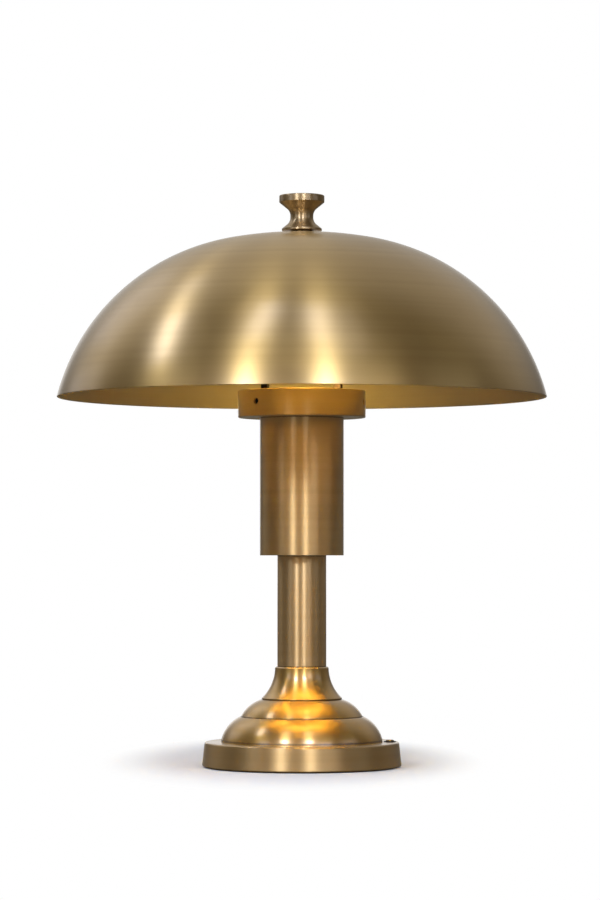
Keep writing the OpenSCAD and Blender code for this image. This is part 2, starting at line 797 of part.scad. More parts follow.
module holder_core() {
    screw_hole_r = 1.5;
    screw_hole_at = 10;
    color("#e8e2d4") translate([0, 0, holder_z + core_low_h]) difference() {
        cylinder(r = cap_r - holder_wall - fit_gap, h = contact_h - contact_t - core_low_h);
        around([0, 180], screw_hole_at) translate([0, 0, -overcut]) cylinder(r = screw_hole_r, h = contact_h);
    }
}

module holder_contact() {
    contact_r = 3;
    tongue = [4, 8, 0.6];
    color(bright_brass) translate([0, 0, holder_z + contact_h - contact_t]) {
        cylinder(r = contact_r, h = contact_t);
        translate([-tongue[0] / 2, 0, 0]) cube(tongue);
    }
}

module holder_skirt() {
    skirt_z = 12;
    step_z = contact_h - contact_t + 0.5;
    color(plastic_colour) translate([0, 0, holder_z + skirt_z]) difference() {
        cylinder(r = holder_r, h = holder_h - skirt_z);
        translate([0, 0, -overcut]) cylinder(r = cap_r + fit_gap, h = step_z - skirt_z + overcut);
        cylinder(r = liner_r + fit_gap, h = holder_h);
    }
}

module holder_liner() {
    liner_z = contact_h - contact_t;
    mouth_h = 1;
    color(bright_brass) translate([0, 0, holder_z + liner_z])
        ring(liner_r, liner_bore_r, holder_h - mouth_h - liner_z);
}

module bulb_tip() {
    color("silver") translate([0, 0, bulb_z]) cylinder(r1 = 3, r2 = 4.8, h = bulb_tip_h);
}

module bulb_insulator() {
    color("#141414") translate([0, 0, bulb_z + bulb_tip_h])
        cylinder(r1 = 5.2, r2 = bulb_cap_r - 1.6, h = bulb_foot_h - bulb_tip_h);
}

// Screw shell of the bulb: five round ridges on a thin wall
module bulb_cap() {
    ridge_r = 1.3;
    ridge_pitch = 3.6;
    first_ridge = 2.2;
    ridges = 5;
    shell_wall = 0.6;
    shell_floor = 1;
    color("silver") translate([0, 0, bulb_z + bulb_foot_h]) difference() {
        rotate_extrude() union() {
            square([bulb_neck_r, bulb_shell_h - bulb_foot_h]);
            for (i = [0:ridges - 1])
                translate([bulb_cap_r - ridge_r, first_ridge + i * ridge_pitch]) circle(ridge_r);
        }
        translate([0, 0, shell_floor]) cylinder(r = bulb_neck_r - shell_wall, h = bulb_shell_h);
    }
}

// Half section of the bulb's globe, cone and neck, brought in by inset and cut off at a height
bulb_slope = 35;
module bulb_section(inset, low) {
    globe_z = bulb_len - bulb_r;
    touch_r = (bulb_r - inset) * cos(bulb_slope);
    touch_z = globe_z - (bulb_r - inset) * sin(bulb_slope);
    neck = bulb_neck_r - inset;
    intersection() {
        translate([0, globe_z]) circle(bulb_r - inset);
        square([bulb_r, bulb_len]);
    }
    polygon([
        [0, low],
        [neck, low],
        [neck, touch_z - (touch_r - neck) / tan(bulb_slope)],
        [touch_r, touch_z],
        [0, globe_z],
    ]);
}

module bulb_glass() {
    color("#fff3dc") translate([0, 0, bulb_z]) difference() {
        rotate_extrude() bulb_section(0, bulb_shell_h);
        rotate_extrude() bulb_section(glass_t, bulb_shell_h - overcut);
    }
}

// ---------------------------------------------------------------- switch, inlet and wiring

// The grommet's flange lies in a round seat cut flat into the plate, and its lip holds it from inside
module cord_grommet() {
    lip_r = inlet_barrel_r + 0.8;
    lip_t = 1;
    lip_y = sqrt(hollow_r * hollow_r - lip_r * lip_r) - fit_gap;
    color(plastic_colour) translate([0, 0, inlet_z]) rotate([-90, 0, 0]) difference() {
        union() {
            translate([0, 0, lip_y - lip_t]) cylinder(r = lip_r, h = lip_t);
            translate([0, 0, lip_y - lip_t])
                cylinder(r = inlet_barrel_r - fit_gap, h = inlet_out_y - lip_y + lip_t);
            translate([0, 0, inlet_seat_y]) cylinder(r = inlet_flange_r, h = inlet_out_y - inlet_seat_y);
        }
        translate([0, 0, lip_y - lip_t - overcut]) cylinder(r = inlet_bore_r, h = plate_r);
    }
}

module terminal_block() {
    color("#d9d4c8") rotate(block_turn) translate([block_at, 0, ballast_z]) difference() {
        translate([-block_size[0] / 2, -block_size[1] / 2, 0]) cube(block_size);
        for (y = [-1, 1] * block_size[1] / 4) translate([0, y, block_size[2] - block_hole_h])
            cylinder(r = block_hole_r, h = block_hole_h + overcut);
    }
}

module switch_lead() {
    color(plastic_colour) tube_along([for (p = switch_lead_route) polar(p)], lead_r, lead_sides, [0, 0, 1]);
}

module lamp_lead() {
    across = [-sin(block_turn), cos(block_turn), 0];
    color(plastic_colour) tube_along([for (p = lamp_lead_route) polar(p)], lead_r, lead_sides, across);
}

module switch_bush() {
    color(iron_colour) translate([switch_at, 0, switch_bush_z]) difference() {
        union() {
            cylinder(r = switch_bush_r, h = plate_z - switch_bush_z);
            translate([0, 0, plate_z - switch_bush_z]) cylinder(r = switch_flange_r, h = switch_flange_t);
        }
        translate([0, 0, -overcut])
            cylinder(r = button_r + turn_gap, h = plate_z - switch_bush_z + switch_flange_t + 2 * overcut);
    }
}

module switch_nut() {
    color(steel_colour) translate([switch_at, 0, switch_bush_z]) rotate(30)
        hex_nut(2 * switch_body_r, switch_bush_r + fit_gap, switch_nut_t);
}

module switch_body() {
    color(plastic_colour) translate([switch_at, 0, switch_body_z]) difference() {
        cylinder(r = switch_body_r, h = switch_bush_z - switch_body_z);
        translate([0, 0, spring_z - switch_body_z])
            cylinder(r = button_r + turn_gap, h = switch_bush_z - spring_z + overcut);
    }
}

module switch_spring() {
    low_z = spring_z + spring_wire_r;
    high_z = button_z - spring_wire_r;
    turn_rings = 8;
    rings = turn_rings * spring_turns;
    points = [for (i = [0:rings])
        polar([spring_r, 360 * i / turn_rings, low_z + (high_z - low_z) * i / rings])];
    color("silver") translate([switch_at, 0, 0]) tube_along(points, spring_wire_r, 6, [0, 0, 1]);
}

module switch_button() {
    h = plate_z + switch_flange_t + button_show_h - button_z;
    bevel = 0.5;
    color(bright_brass) translate([switch_at, 0, button_z]) rotate_extrude() polygon([
        [0, 0],
        [button_r, 0],
        [button_r, h - bevel],
        [button_r - bevel, h],
        [0, h],
    ]);
}

// ---------------------------------------------------------------- drawing

felt_pad();
bottom_cover();
cover_screws();
ballast_ring();
base_plate();
step_screws();
lower_step();
middle_step();
cove_collar();
stem_tube();
tie_pipe();
lower_pipe_nut();
lower_pipe_washer();
upper_pipe_nut();
upper_pipe_washer();
sleeve_floor();
sleeve_tube();
collar_ring();
collar_set_screws();
shade_bracket();
bracket_screws();
bracket_stud();
stud_nut();
shade_seat();
fibre_washer();
holder_cap();
holder_core();
holder_contact();
holder_skirt();
holder_liner();
cord_grommet();
terminal_block();
switch_lead();
lamp_lead();
switch_bush();
switch_nut();
switch_body();
switch_spring();
switch_button();
shade_dome();
finial_knob();
finial_spacer();
bulb_glass();
bulb_cap();
bulb_insulator();
bulb_tip();
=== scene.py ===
"""Looks of the dome shade desk lamp: turned and brushed brass, the lit bulb, and a white studio round it."""

import logging
import math
from collections.abc import Iterable
from dataclasses import dataclass
from enum import Enum
from functools import reduce
from typing import ClassVar

import bmesh
import bpy
from mathutils import Matrix, Vector


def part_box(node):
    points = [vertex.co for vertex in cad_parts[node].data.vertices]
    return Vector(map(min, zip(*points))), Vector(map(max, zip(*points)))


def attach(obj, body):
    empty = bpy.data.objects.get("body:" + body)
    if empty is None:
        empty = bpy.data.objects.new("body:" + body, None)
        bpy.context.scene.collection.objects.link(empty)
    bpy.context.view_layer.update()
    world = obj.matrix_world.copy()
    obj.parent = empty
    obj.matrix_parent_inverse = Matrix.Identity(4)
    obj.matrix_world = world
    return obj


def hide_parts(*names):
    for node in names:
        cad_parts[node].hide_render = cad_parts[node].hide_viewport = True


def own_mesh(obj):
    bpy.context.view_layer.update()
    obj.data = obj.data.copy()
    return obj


log = logging.getLogger("desk_lamp")

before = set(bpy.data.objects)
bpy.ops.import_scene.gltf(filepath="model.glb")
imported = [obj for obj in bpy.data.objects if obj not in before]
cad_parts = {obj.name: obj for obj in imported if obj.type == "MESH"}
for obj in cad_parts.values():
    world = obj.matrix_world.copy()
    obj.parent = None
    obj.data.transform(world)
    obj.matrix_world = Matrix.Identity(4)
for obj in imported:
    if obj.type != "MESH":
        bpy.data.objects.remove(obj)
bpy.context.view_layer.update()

MM = 0.001
TINY = 1e-5
WHITE = (1.0, 1.0, 1.0)

Colour = tuple[float, float, float]
Place = tuple[float, float, float]
Point = tuple[float, float]
Object = bpy.types.Object
Node = bpy.types.Node
Socket = bpy.types.NodeSocket
Outputs = bpy.types.NodeOutputs
Sockets = dict[str, Socket]
Inputs = dict[str | int, object]


# ---------------------------------------------------------------- node helpers


@dataclass(frozen=True)
class Ramp:
    """A smooth step, from start at the low value to end at the high one."""

    low: float
    high: float
    start: float = 0.0
    end: float = 1.0


@dataclass(frozen=True)
class Cloud:
    """A noise: its features in a metre, its octaves, their strength, and how far it warps itself."""

    scale: float
    detail: float
    roughness: float
    distortion: float = 0.0


class Nodes:
    """Adds and links nodes in one tree, from left to right."""

    column_width = 180

    def __init__(self, tree: bpy.types.NodeTree) -> None:
        """Starts on an empty tree."""
        self.tree = tree

    def feed(self, target: Socket, value: object) -> None:
        """Links a socket to an input, or sets the input.

        Args:
            target: the input.
            value: an output socket, or a number, a vector or a colour without alpha.
        """
        if isinstance(value, Socket):
            self.tree.links.new(value, target)
        else:
            target.default_value = (*value, 1.0) if target.type == "RGBA" else value

    def add(self, kind: str, inputs: Inputs | None = None, **settings: object) -> Node:
        """Adds a node.

        Args:
            kind: Blender's name for the node type.
            inputs: what goes into its inputs, by name or number.
            **settings: properties to set on the node.

        Returns:
            The new node.
        """
        node = self.tree.nodes.new(kind)
        node.location = (self.column_width * len(self.tree.nodes), 0)
        for name, value in settings.items():
            setattr(node, name, value)
        for key, value in (inputs or {}).items():
            self.feed(node.inputs[key], value)
        return node

    def out(self, kind: str, inputs: Inputs | None = None, output: str | int = 0, **settings: object) -> Socket:
        """Adds a node, and returns the socket of the output with the given name or number."""
        return self.add(kind, inputs, **settings).outputs[output]

    def math(self, operation: str, *values: object) -> Socket:
        """Does one sum.

        Args:
            operation: the Math node's operation.
            *values: the numbers or sockets that it works on.

        Returns:
            The result's socket.
        """
        return self.out("ShaderNodeMath", dict(enumerate(values)), operation=operation)

    def fold(self, operation: str, values: Iterable[Socket]) -> Socket:
        """Returns the socket of several values joined by one operation."""
        return reduce(lambda first, second: self.math(operation, first, second), values)

    def split(self, vector: Socket) -> tuple[Socket, ...]:
        """Returns the sockets of a vector's three parts."""
        return tuple(self.add("ShaderNodeSeparateXYZ", {0: vector}).outputs)

    def distance(self, first: Socket, second: Socket) -> Socket:
        """Returns the socket of the length whose parts along two axes are given."""
        squares = (self.math("MULTIPLY", side, side) for side in (first, second))
        return self.math("SQRT", self.fold("ADD", squares))

    def ramp(self, value: Socket, ramp: Ramp) -> Socket:
        """Maps a value smoothly and clamps it.

        Args:
            value: the value to map.
            ramp: the step.

        Returns:
            The mapped value's socket.
        """
        inputs = {"Value": value, "From Min": ramp.low, "From Max": ramp.high, "To Min": ramp.start,
                  "To Max": ramp.end}
        return self.out("ShaderNodeMapRange", inputs, interpolation_type="SMOOTHSTEP")

    def mix(self, share: Socket, first: object, second: object) -> Socket:
        """Mixes two colours.

        Args:
            share: share of the second colour.
            first, second: the colours, or their sockets.

        Returns:
            The mixed colour's socket.
        """
        node = self.add("ShaderNodeMix", {"Factor": share}, data_type="RGBA")
        for side, value in zip((s for s in node.inputs if s.type == "RGBA"), (first, second)):
            self.feed(side, value)
        return next(s for s in node.outputs if s.type == "RGBA")

    def noise(self, spot: Socket, cloud: Cloud, w: Socket | None = None) -> Socket:
        """Adds a noise texture.

        Args:
            spot: the coordinates.
            cloud: the noise's settings.
            w: fourth coordinate, for noise that closes on itself.

        Returns:
            The socket of the noise's value, from 0 to 1.
        """
        inputs = {"Vector": spot, "Scale": cloud.scale, "Detail": cloud.detail, "Roughness": cloud.roughness,
                  "Distortion": cloud.distortion}
        if w is None:
            return self.out("ShaderNodeTexNoise", inputs, noise_dimensions="3D")
        return self.out("ShaderNodeTexNoise", inputs | {"W": w}, noise_dimensions="4D")

    def relief(self, height: Socket, depth: float) -> Socket:
        """Returns the normal of a relief with this height, from 0 to 1, and this real depth in metres."""
        return self.out("ShaderNodeBump", {"Strength": 1.0, "Distance": depth, "Height": height})


def bare_nodes(owner: bpy.types.Material | bpy.types.World) -> Nodes:
    """Clears the node tree of a material or a world, and returns a helper on it."""
    owner.use_nodes = True
    owner.node_tree.nodes.clear()
    return Nodes(owner.node_tree)


def new_object(name: str, data: bpy.types.ID) -> Object:
    """Makes an object of some data, in the scene and at the origin."""
    made = bpy.data.objects.new(name, data)
    bpy.context.scene.collection.objects.link(made)
    return made


class NodeGroup:
    """A node group that is built on first use; its inputs and outputs are given by name and kind."""

    name = ""
    kind = "ShaderNodeTree"
    inputs: dict[str, str] = {}
    outputs: dict[str, str] = {}

    def tree(self) -> bpy.types.NodeTree:
        """Returns the group's tree, built on first use."""
        found = bpy.data.node_groups.get(self.name)
        if found:
            return found
        tree = bpy.data.node_groups.new(self.name, self.kind)
        for sockets, way in ((self.inputs, "INPUT"), (self.outputs, "OUTPUT")):
            for label, kind in sockets.items():
                tree.interface.new_socket(label, in_out=way, socket_type="NodeSocket" + kind)
        nodes = Nodes(tree)
        made = self.fill(nodes, nodes.add("NodeGroupInput").outputs)
        nodes.add("NodeGroupOutput", made)
        return tree

    def fill(self, nodes: Nodes, given: Outputs) -> Sockets:
        """Builds the inside of the group.

        Args:
            nodes: helper on the group's tree.
            given: the group's inputs.

        Returns:
            Each output's name and the socket that feeds it.
        """
        raise NotImplementedError

    def place(self, nodes: Nodes, inputs: Inputs) -> Outputs:
        """Puts the group in a material.

        Args:
            nodes: helper on the material's tree.
            inputs: what goes into its inputs, by name.

        Returns:
            The outputs of the group's node.
        """
        return nodes.add("ShaderNodeGroup", inputs, node_tree=self.tree()).outputs


class TurnedGrooves(NodeGroup):
    """Fine rings that a lathe and a brushing pad leave round the Z axis of the lamp."""

    name = "Turned grooves"
    inputs = {"Position": "Vector", "Centre X": "Float", "Fineness": "Float"}
    outputs = {"Lines": "Float", "Bands": "Float"}
    lines = Cloud(1500.0, 2.0, 0.6)
    bands = Cloud(140.0, 3.0, 0.55)
    wander = 0.0012

    def fill(self, nodes: Nodes, given: Outputs) -> Sockets:
        """Builds rings that depend on radius and height, and drift slowly round the axis."""
        x, y, z = nodes.split(given["Position"])
        x = nodes.math("SUBTRACT", x, given["Centre X"])
        radius = nodes.distance(x, y)
        safe = nodes.math("MAXIMUM", radius, TINY)
        drifts = [nodes.math("MULTIPLY", nodes.math("DIVIDE", part, safe), self.wander) for part in (x, y)]
        across, up = (nodes.math("MULTIPLY", part, given["Fineness"]) for part in (radius, z))
        spot = nodes.out("ShaderNodeCombineXYZ", {"X": across, "Y": up, "Z": drifts[0]})
        return {
            "Lines": nodes.noise(spot, self.lines, w=drifts[1]),
            "Bands": nodes.noise(spot, self.bands, w=drifts[1]),
        }


class HandMarks(NodeGroup):
    """Soft cloudy marks that cleaning and handling leave on lacquered metal."""

    name = "Hand marks"
    inputs = {"Position": "Vector"}
    outputs = {"Marks": "Float", "Tarnish": "Float"}
    marks = Cloud(34.0, 4.0, 0.62, 0.4)
    marked = Ramp(0.48, 0.72)
    tarnish = Cloud(9.0, 3.0, 0.5)
    tarnished = Ramp(0.3, 0.7)

    def fill(self, nodes: Nodes, given: Outputs) -> Sockets:
        """Builds one fine and one broad cloud."""
        return {
            "Marks": nodes.ramp(nodes.noise(given["Position"], self.marks), self.marked),
            "Tarnish": nodes.ramp(nodes.noise(given["Position"], self.tarnish), self.tarnished),
        }


class Speckle(NodeGroup):
    """Small even grain, as in moulded plastic, cast iron, fibre and ceramic."""

    name = "Speckle"
    inputs = {"Position": "Vector"}
    outputs = {"Fine": "Float", "Coarse": "Float"}
    fine = Cloud(1700.0, 3.0, 0.6)
    coarse = Cloud(260.0, 4.0, 0.55)

    def fill(self, nodes: Nodes, given: Outputs) -> Sockets:
        """Builds a fine and a coarse noise."""
        return {
            "Fine": nodes.noise(given["Position"], self.fine),
            "Coarse": nodes.noise(given["Position"], self.coarse),
        }


class RingMask(NodeGroup):
    """Ragged ring round the Z axis, for the painted shade and grime in a seam, or the painted highlight and
    wear on an edge.
    """

    name = "Ring mask"
    inputs = {"Position": "Vector", "Radius": "Float", "Height": "Float", "Width": "Float"}
    outputs = {"Mask": "Float"}
    cloud = Cloud(520.0, 3.0, 0.6)
    raggedness = 0.8
    fade = Ramp(0.25, 1.0, 1.0, 0.0)

    def fill(self, nodes: Nodes, given: Outputs) -> Sockets:
        """Builds a mask that is 1 on the ring and 0 a width away from it."""
        x, y, z = nodes.split(given["Position"])
        out = nodes.math("SUBTRACT", nodes.distance(x, y), given["Radius"])
        up = nodes.math("SUBTRACT", z, given["Height"])
        share = nodes.math("DIVIDE", nodes.distance(out, up), given["Width"])
        ragged = nodes.math("MULTIPLY_ADD", nodes.noise(given["Position"], self.cloud), self.raggedness,
                            -0.5 * self.raggedness)
        return {"Mask": nodes.ramp(nodes.math("ADD", share, ragged), self.fade)}


GROOVES = TurnedGrooves()
MARKS = HandMarks()
SPECKLE = Speckle()
RINGS = RingMask()


# ---------------------------------------------------------------- finishes


@dataclass(frozen=True)
class Finish:
    """A surface finish that can be built as a material."""

    name: str

    def material(self) -> bpy.types.Material:
        """Returns the finish's material, built on first use."""
        found = bpy.data.materials.get(self.name)
        if found:
            return found
        made = bpy.data.materials.new(self.name)
        nodes = bare_nodes(made)
        shader = self.shade(nodes, nodes.out("ShaderNodeTexCoord", output="Object"))
        nodes.add("ShaderNodeOutputMaterial", {"Surface": shader.outputs[0]})
        return made

    def shade(self, nodes: Nodes, spot: Socket) -> Node:
        """Builds the shader.

        Args:
            nodes: helper on the material's tree.
            spot: socket of the object coordinates.

        Returns:
            The shader node.
        """
        raise NotImplementedError


@dataclass(frozen=True)
class TurnedMetal(Finish):
    """Metal that was turned and brushed round, and lacquered."""

    bright: Colour
    aged: Colour
    roughness: float
    spread: float = 0.08
    anisotropy: float = 0.86
    brushed_round: float = 0.25
    lacquer: float = 1.0
    lacquer_roughness: float = 0.24
    lacquer_ior: float = 1.75
    groove_depth: float = 4e-6
    fineness: float = 1.0
    centre_x: float = 0.0
    tarnish: float = 0.5
    smudge: float = 0.4
    banding: Ramp = Ramp(0.35, 0.7, 0.0, 0.35)
    seams: tuple[Point, ...] = ()
    edges: tuple[Point, ...] = ()
    seam_width: float = 1.3 * MM
    edge_width: float = 0.7 * MM
    # Painted shade with some grime: the colour and share that darken the brass in the seams where parts meet.
    dirt_and_shade: Colour = (0.10, 0.055, 0.02)
    dirt_and_shade_share: float = 0.6
    dirt_roughness: float = 0.15
    # Painted highlight with some wear: the lighter colour and its share on the outer edges listed in edges.
    polish_and_highlight: Colour = (0.88, 0.68, 0.38)
    polish_and_highlight_share: float = 0.6

    def shade(self, nodes: Nodes, spot: Socket) -> Node:
        """Builds brushed metal whose highlights fan out across the grooves."""
        grooves = GROOVES.place(nodes, {"Position": spot, "Centre X": self.centre_x, "Fineness": self.fineness})
        marks = MARKS.place(nodes, {"Position": spot})
        bands = nodes.ramp(grooves["Bands"], self.banding)
        age = nodes.math("MULTIPLY_ADD", marks["Tarnish"], self.tarnish, bands)
        colour = nodes.mix(age, self.bright, self.aged)
        rough = nodes.math("MULTIPLY_ADD", grooves["Lines"], self.spread, self.roughness - 0.5 * self.spread)
        rough = nodes.math("MULTIPLY_ADD", marks["Marks"], self.smudge * self.spread, rough)
        # Painted highlight with some wear: the brass is lighter on the rings listed in edges, and the mask
        # called worn carries both.
        if self.edges:
            worn = self.rings(nodes, spot, self.edges, self.edge_width)
            colour = nodes.mix(nodes.math("MULTIPLY", worn, self.polish_and_highlight_share), colour, self.polish_and_highlight)
        # Painted shade with some grime: the brass is darker, and rougher, on the rings listed in seams.
        if self.seams:
            dirt_and_shade_mask = self.rings(nodes, spot, self.seams, self.seam_width)
            colour = nodes.mix(nodes.math("MULTIPLY", dirt_and_shade_mask, self.dirt_and_shade_share), colour, self.dirt_and_shade)
            rough = nodes.math("MULTIPLY_ADD", dirt_and_shade_mask, self.dirt_roughness, rough)
        return nodes.add("ShaderNodeBsdfPrincipled", {
            "Base Color": colour,
            "Metallic": 1.0,
            "Roughness": rough,
            "Anisotropic": self.anisotropy,
            "Anisotropic Rotation": self.brushed_round,
            "Tangent": nodes.out("ShaderNodeTangent", direction_type="RADIAL", axis="Z"),
            "Coat Weight": self.lacquer,
            "Coat Roughness": self.lacquer_roughness,
            "Coat IOR": self.lacquer_ior,
            "Normal": nodes.relief(grooves["Lines"], self.groove_depth),
        })

    def rings(self, nodes: Nodes, spot: Socket, rings: tuple[Point, ...], width: float) -> Socket:
        """Joins the masks of several rings.

        Args:
            nodes: helper on the material's tree.
            spot: socket of the object coordinates.
            rings: each ring's radius and height.
            width: how far the masks reach.

        Returns:
            The joined mask's socket.
        """
        places = [{"Position": spot, "Radius": r, "Height": z, "Width": width} for r, z in rings]
        return nodes.fold("MAXIMUM", [RINGS.place(nodes, place)["Mask"] for place in places])


@dataclass(frozen=True)
class PlainMetal(Finish):
    """Plated or blacked metal with an even grain and no direction."""

    colour: Colour
    stained: Colour
    roughness: float
    smudge: float = 0.12
    stains: Ramp = Ramp(0.45, 0.75, 0.0, 0.8)
    grain_depth: float = 6e-6

    def shade(self, nodes: Nodes, spot: Socket) -> Node:
        """Builds metal with a fine grain and faint stains."""
        grain = SPECKLE.place(nodes, {"Position": spot})
        marks = MARKS.place(nodes, {"Position": spot})
        return nodes.add("ShaderNodeBsdfPrincipled", {
            "Base Color": nodes.mix(nodes.ramp(grain["Coarse"], self.stains), self.colour, self.stained),
            "Metallic": 1.0,
            "Roughness": nodes.math("MULTIPLY_ADD", marks["Marks"], self.smudge, self.roughness),
            "Normal": nodes.relief(grain["Fine"], self.grain_depth),
        })


@dataclass(frozen=True)
class Moulded(Finish):
    """A moulded, pressed or fired material that isn't metal."""

    colour: Colour = (0.02, 0.02, 0.021)
    worn: Colour = (0.05, 0.048, 0.045)
    roughness: float = 0.45
    spread: float = 0.12
    wear: Ramp = Ramp(0.4, 0.75)
    grain_depth: float = 1.2e-5
    gloss: float = 0.5
    sheen: float = 0.0

    def shade(self, nodes: Nodes, spot: Socket) -> Node:
        """Builds a grained dielectric."""
        grain = SPECKLE.place(nodes, {"Position": spot})
        return nodes.add("ShaderNodeBsdfPrincipled", {
            "Base Color": nodes.mix(nodes.ramp(grain["Coarse"], self.wear), self.colour, self.worn),
            "Roughness": nodes.math("MULTIPLY_ADD", grain["Coarse"], self.spread, self.roughness),
            "Specular IOR Level": self.gloss,
            "Sheen Weight": self.sheen,
            "Normal": nodes.relief(grain["Fine"], self.grain_depth),
        })


@dataclass(frozen=True)
class LitGlass(Finish):
    """Opal glass of a burning bulb: warm, and brighter at its crown than at its neck."""

    opal: Colour = (0.86, 0.84, 0.80)
    glow: Colour = (1.0, 0.92, 0.24)
    at_neck: float = 0.55
    power: float = 80.0
    roughness: float = 0.2
    spread: float = 0.08
    height: Ramp = Ramp(232 * MM, 304 * MM)

    def shade(self, nodes: Nodes, spot: Socket) -> Node:
        """Builds glowing opal glass."""
        grain = SPECKLE.place(nodes, {"Position": spot})
        dim = tuple(self.at_neck * c for c in self.glow)
        return nodes.add("ShaderNodeBsdfPrincipled", {
            "Base Color": self.opal,
            "Roughness": nodes.math("MULTIPLY_ADD", grain["Coarse"], self.spread, self.roughness),
            "Emission Color": nodes.mix(nodes.ramp(nodes.split(spot)[2], self.height), dim, self.glow),
            "Emission Strength": self.power,
        })


def in_mm(*points: Point) -> tuple[Point, ...]:
    """Returns points that are given in millimetres, in metres."""
    return tuple((r * MM, z * MM) for r, z in points)


# Rings of the stand: seams get painted shade with some grime where parts meet, edges get a painted highlight
# with some wear.
STAND_RINGS = {
    "seams": in_mm((66.2, 22), (49.9, 41.2), (32.79, 55.5), (20, 82), (20, 173), (34.3, 285.6)),
    "edges": in_mm((81.5, 22), (34.3, 173), (22, 81.4)),
}
# The dome is darkened round the knob's spacer, as painted shade.
SHADE_BRASS = TurnedMetal("shade brass", (0.70, 0.463, 0.152), (0.57, 0.355, 0.095), 0.35, anisotropy=0.80,
                          seams=in_mm((9, 436.6)), seam_width=3 * MM)
SHADE_INSIDE = TurnedMetal("shade inside", (0.74, 0.58, 0.35), (0.64, 0.47, 0.25), 0.50, anisotropy=0.6,
                           lacquer=0.4)
SLEEVE_INSIDE = TurnedMetal("sleeve inside", (0.70, 0.46, 0.20), (0.42, 0.26, 0.12), 0.50)
STAND_BRASS = TurnedMetal("stand brass", (0.80, 0.535, 0.222), (0.66, 0.415, 0.148), 0.41, **STAND_RINGS)
STEM_BRASS = TurnedMetal("stem brass", (0.88, 0.60, 0.275), (0.76, 0.48, 0.19), 0.40, **STAND_RINGS)
STEP_BRASS = TurnedMetal("step brass", (0.83, 0.50, 0.12), (0.68, 0.385, 0.08), 0.36, lacquer_roughness=0.22,
                         **STAND_RINGS)
# The collar is lighter on its top and bottom edges, as a painted highlight with some wear.
COLLAR_BRASS = TurnedMetal("collar brass", (0.82, 0.55, 0.215), (0.70, 0.44, 0.15), 0.40,
                           edges=in_mm((52.25, 307.5), (52.25, 285.6)))
# The knob is darkened round its foot, as painted shade.
KNOB_BRASS = TurnedMetal("knob brass", (0.56, 0.40, 0.20), (0.40, 0.27, 0.12), 0.37, lacquer=0.35,
                         anisotropy=0.75, groove_depth=1.2e-6, seams=in_mm((9, 438.4)))
BUTTON_BRASS = TurnedMetal("button brass", (0.36, 0.27, 0.13), (0.24, 0.17, 0.08), 0.55, centre_x=72 * MM,
                           lacquer=0.2, fineness=2.5)
CONTACT_BRASS = TurnedMetal("contact brass", (0.82, 0.62, 0.30), (0.64, 0.42, 0.17), 0.28)
ZINC_STEEL = PlainMetal("zinc steel", (0.60, 0.60, 0.58), (0.44, 0.44, 0.42), 0.33)
BLACK_STEEL = PlainMetal("black steel", (0.05, 0.05, 0.052), (0.02, 0.02, 0.021), 0.40)
SPRING_STEEL = PlainMetal("spring steel", (0.62, 0.62, 0.61), (0.40, 0.39, 0.37), 0.25)
BALLAST_IRON = PlainMetal("ballast iron", (0.16, 0.15, 0.145), (0.10, 0.07, 0.05), 0.62, grain_depth=6e-5)
CAP_ALLOY = PlainMetal("cap alloy", (0.70, 0.69, 0.66), (0.55, 0.53, 0.50), 0.30)
# Dark bracket paint, made near-black beyond real paint as painted shade, so the strap reads dark under the lit
# dome.
SHADED_BRACKET_PAINT = Moulded("shaded bracket paint", (0.010, 0.0025, 0.001), (0.016, 0.004, 0.0015), 0.6, gloss=0.15)
BLACK_GLASS = Moulded("black glass", (0.012, 0.012, 0.014), (0.02, 0.02, 0.02), 0.12, spread=0.05,
                      grain_depth=2e-6)
BLACK_PLASTIC = Moulded("black plastic")
PALE_PLASTIC = Moulded("pale plastic", (0.72, 0.69, 0.62), (0.62, 0.58, 0.50), 0.42)
CERAMIC = Moulded("ceramic", (0.80, 0.78, 0.72), (0.70, 0.67, 0.60), 0.30)
BLACK_RUBBER = Moulded("black rubber", (0.015, 0.015, 0.015), (0.04, 0.038, 0.036), 0.65)
LEAD_SLEEVING = Moulded("lead sleeving", (0.10, 0.06, 0.035), (0.16, 0.10, 0.06), 0.55)
FIBRE = Moulded("fibre", (0.22, 0.06, 0.03), (0.30, 0.10, 0.05), 0.6)
FELT = Moulded("felt", (0.028, 0.025, 0.022), (0.065, 0.058, 0.05), 0.9, grain_depth=2.5e-4, sheen=0.3)
OPAL_GLASS = LitGlass("opal glass")


# ---------------------------------------------------------------- turned and wound forms


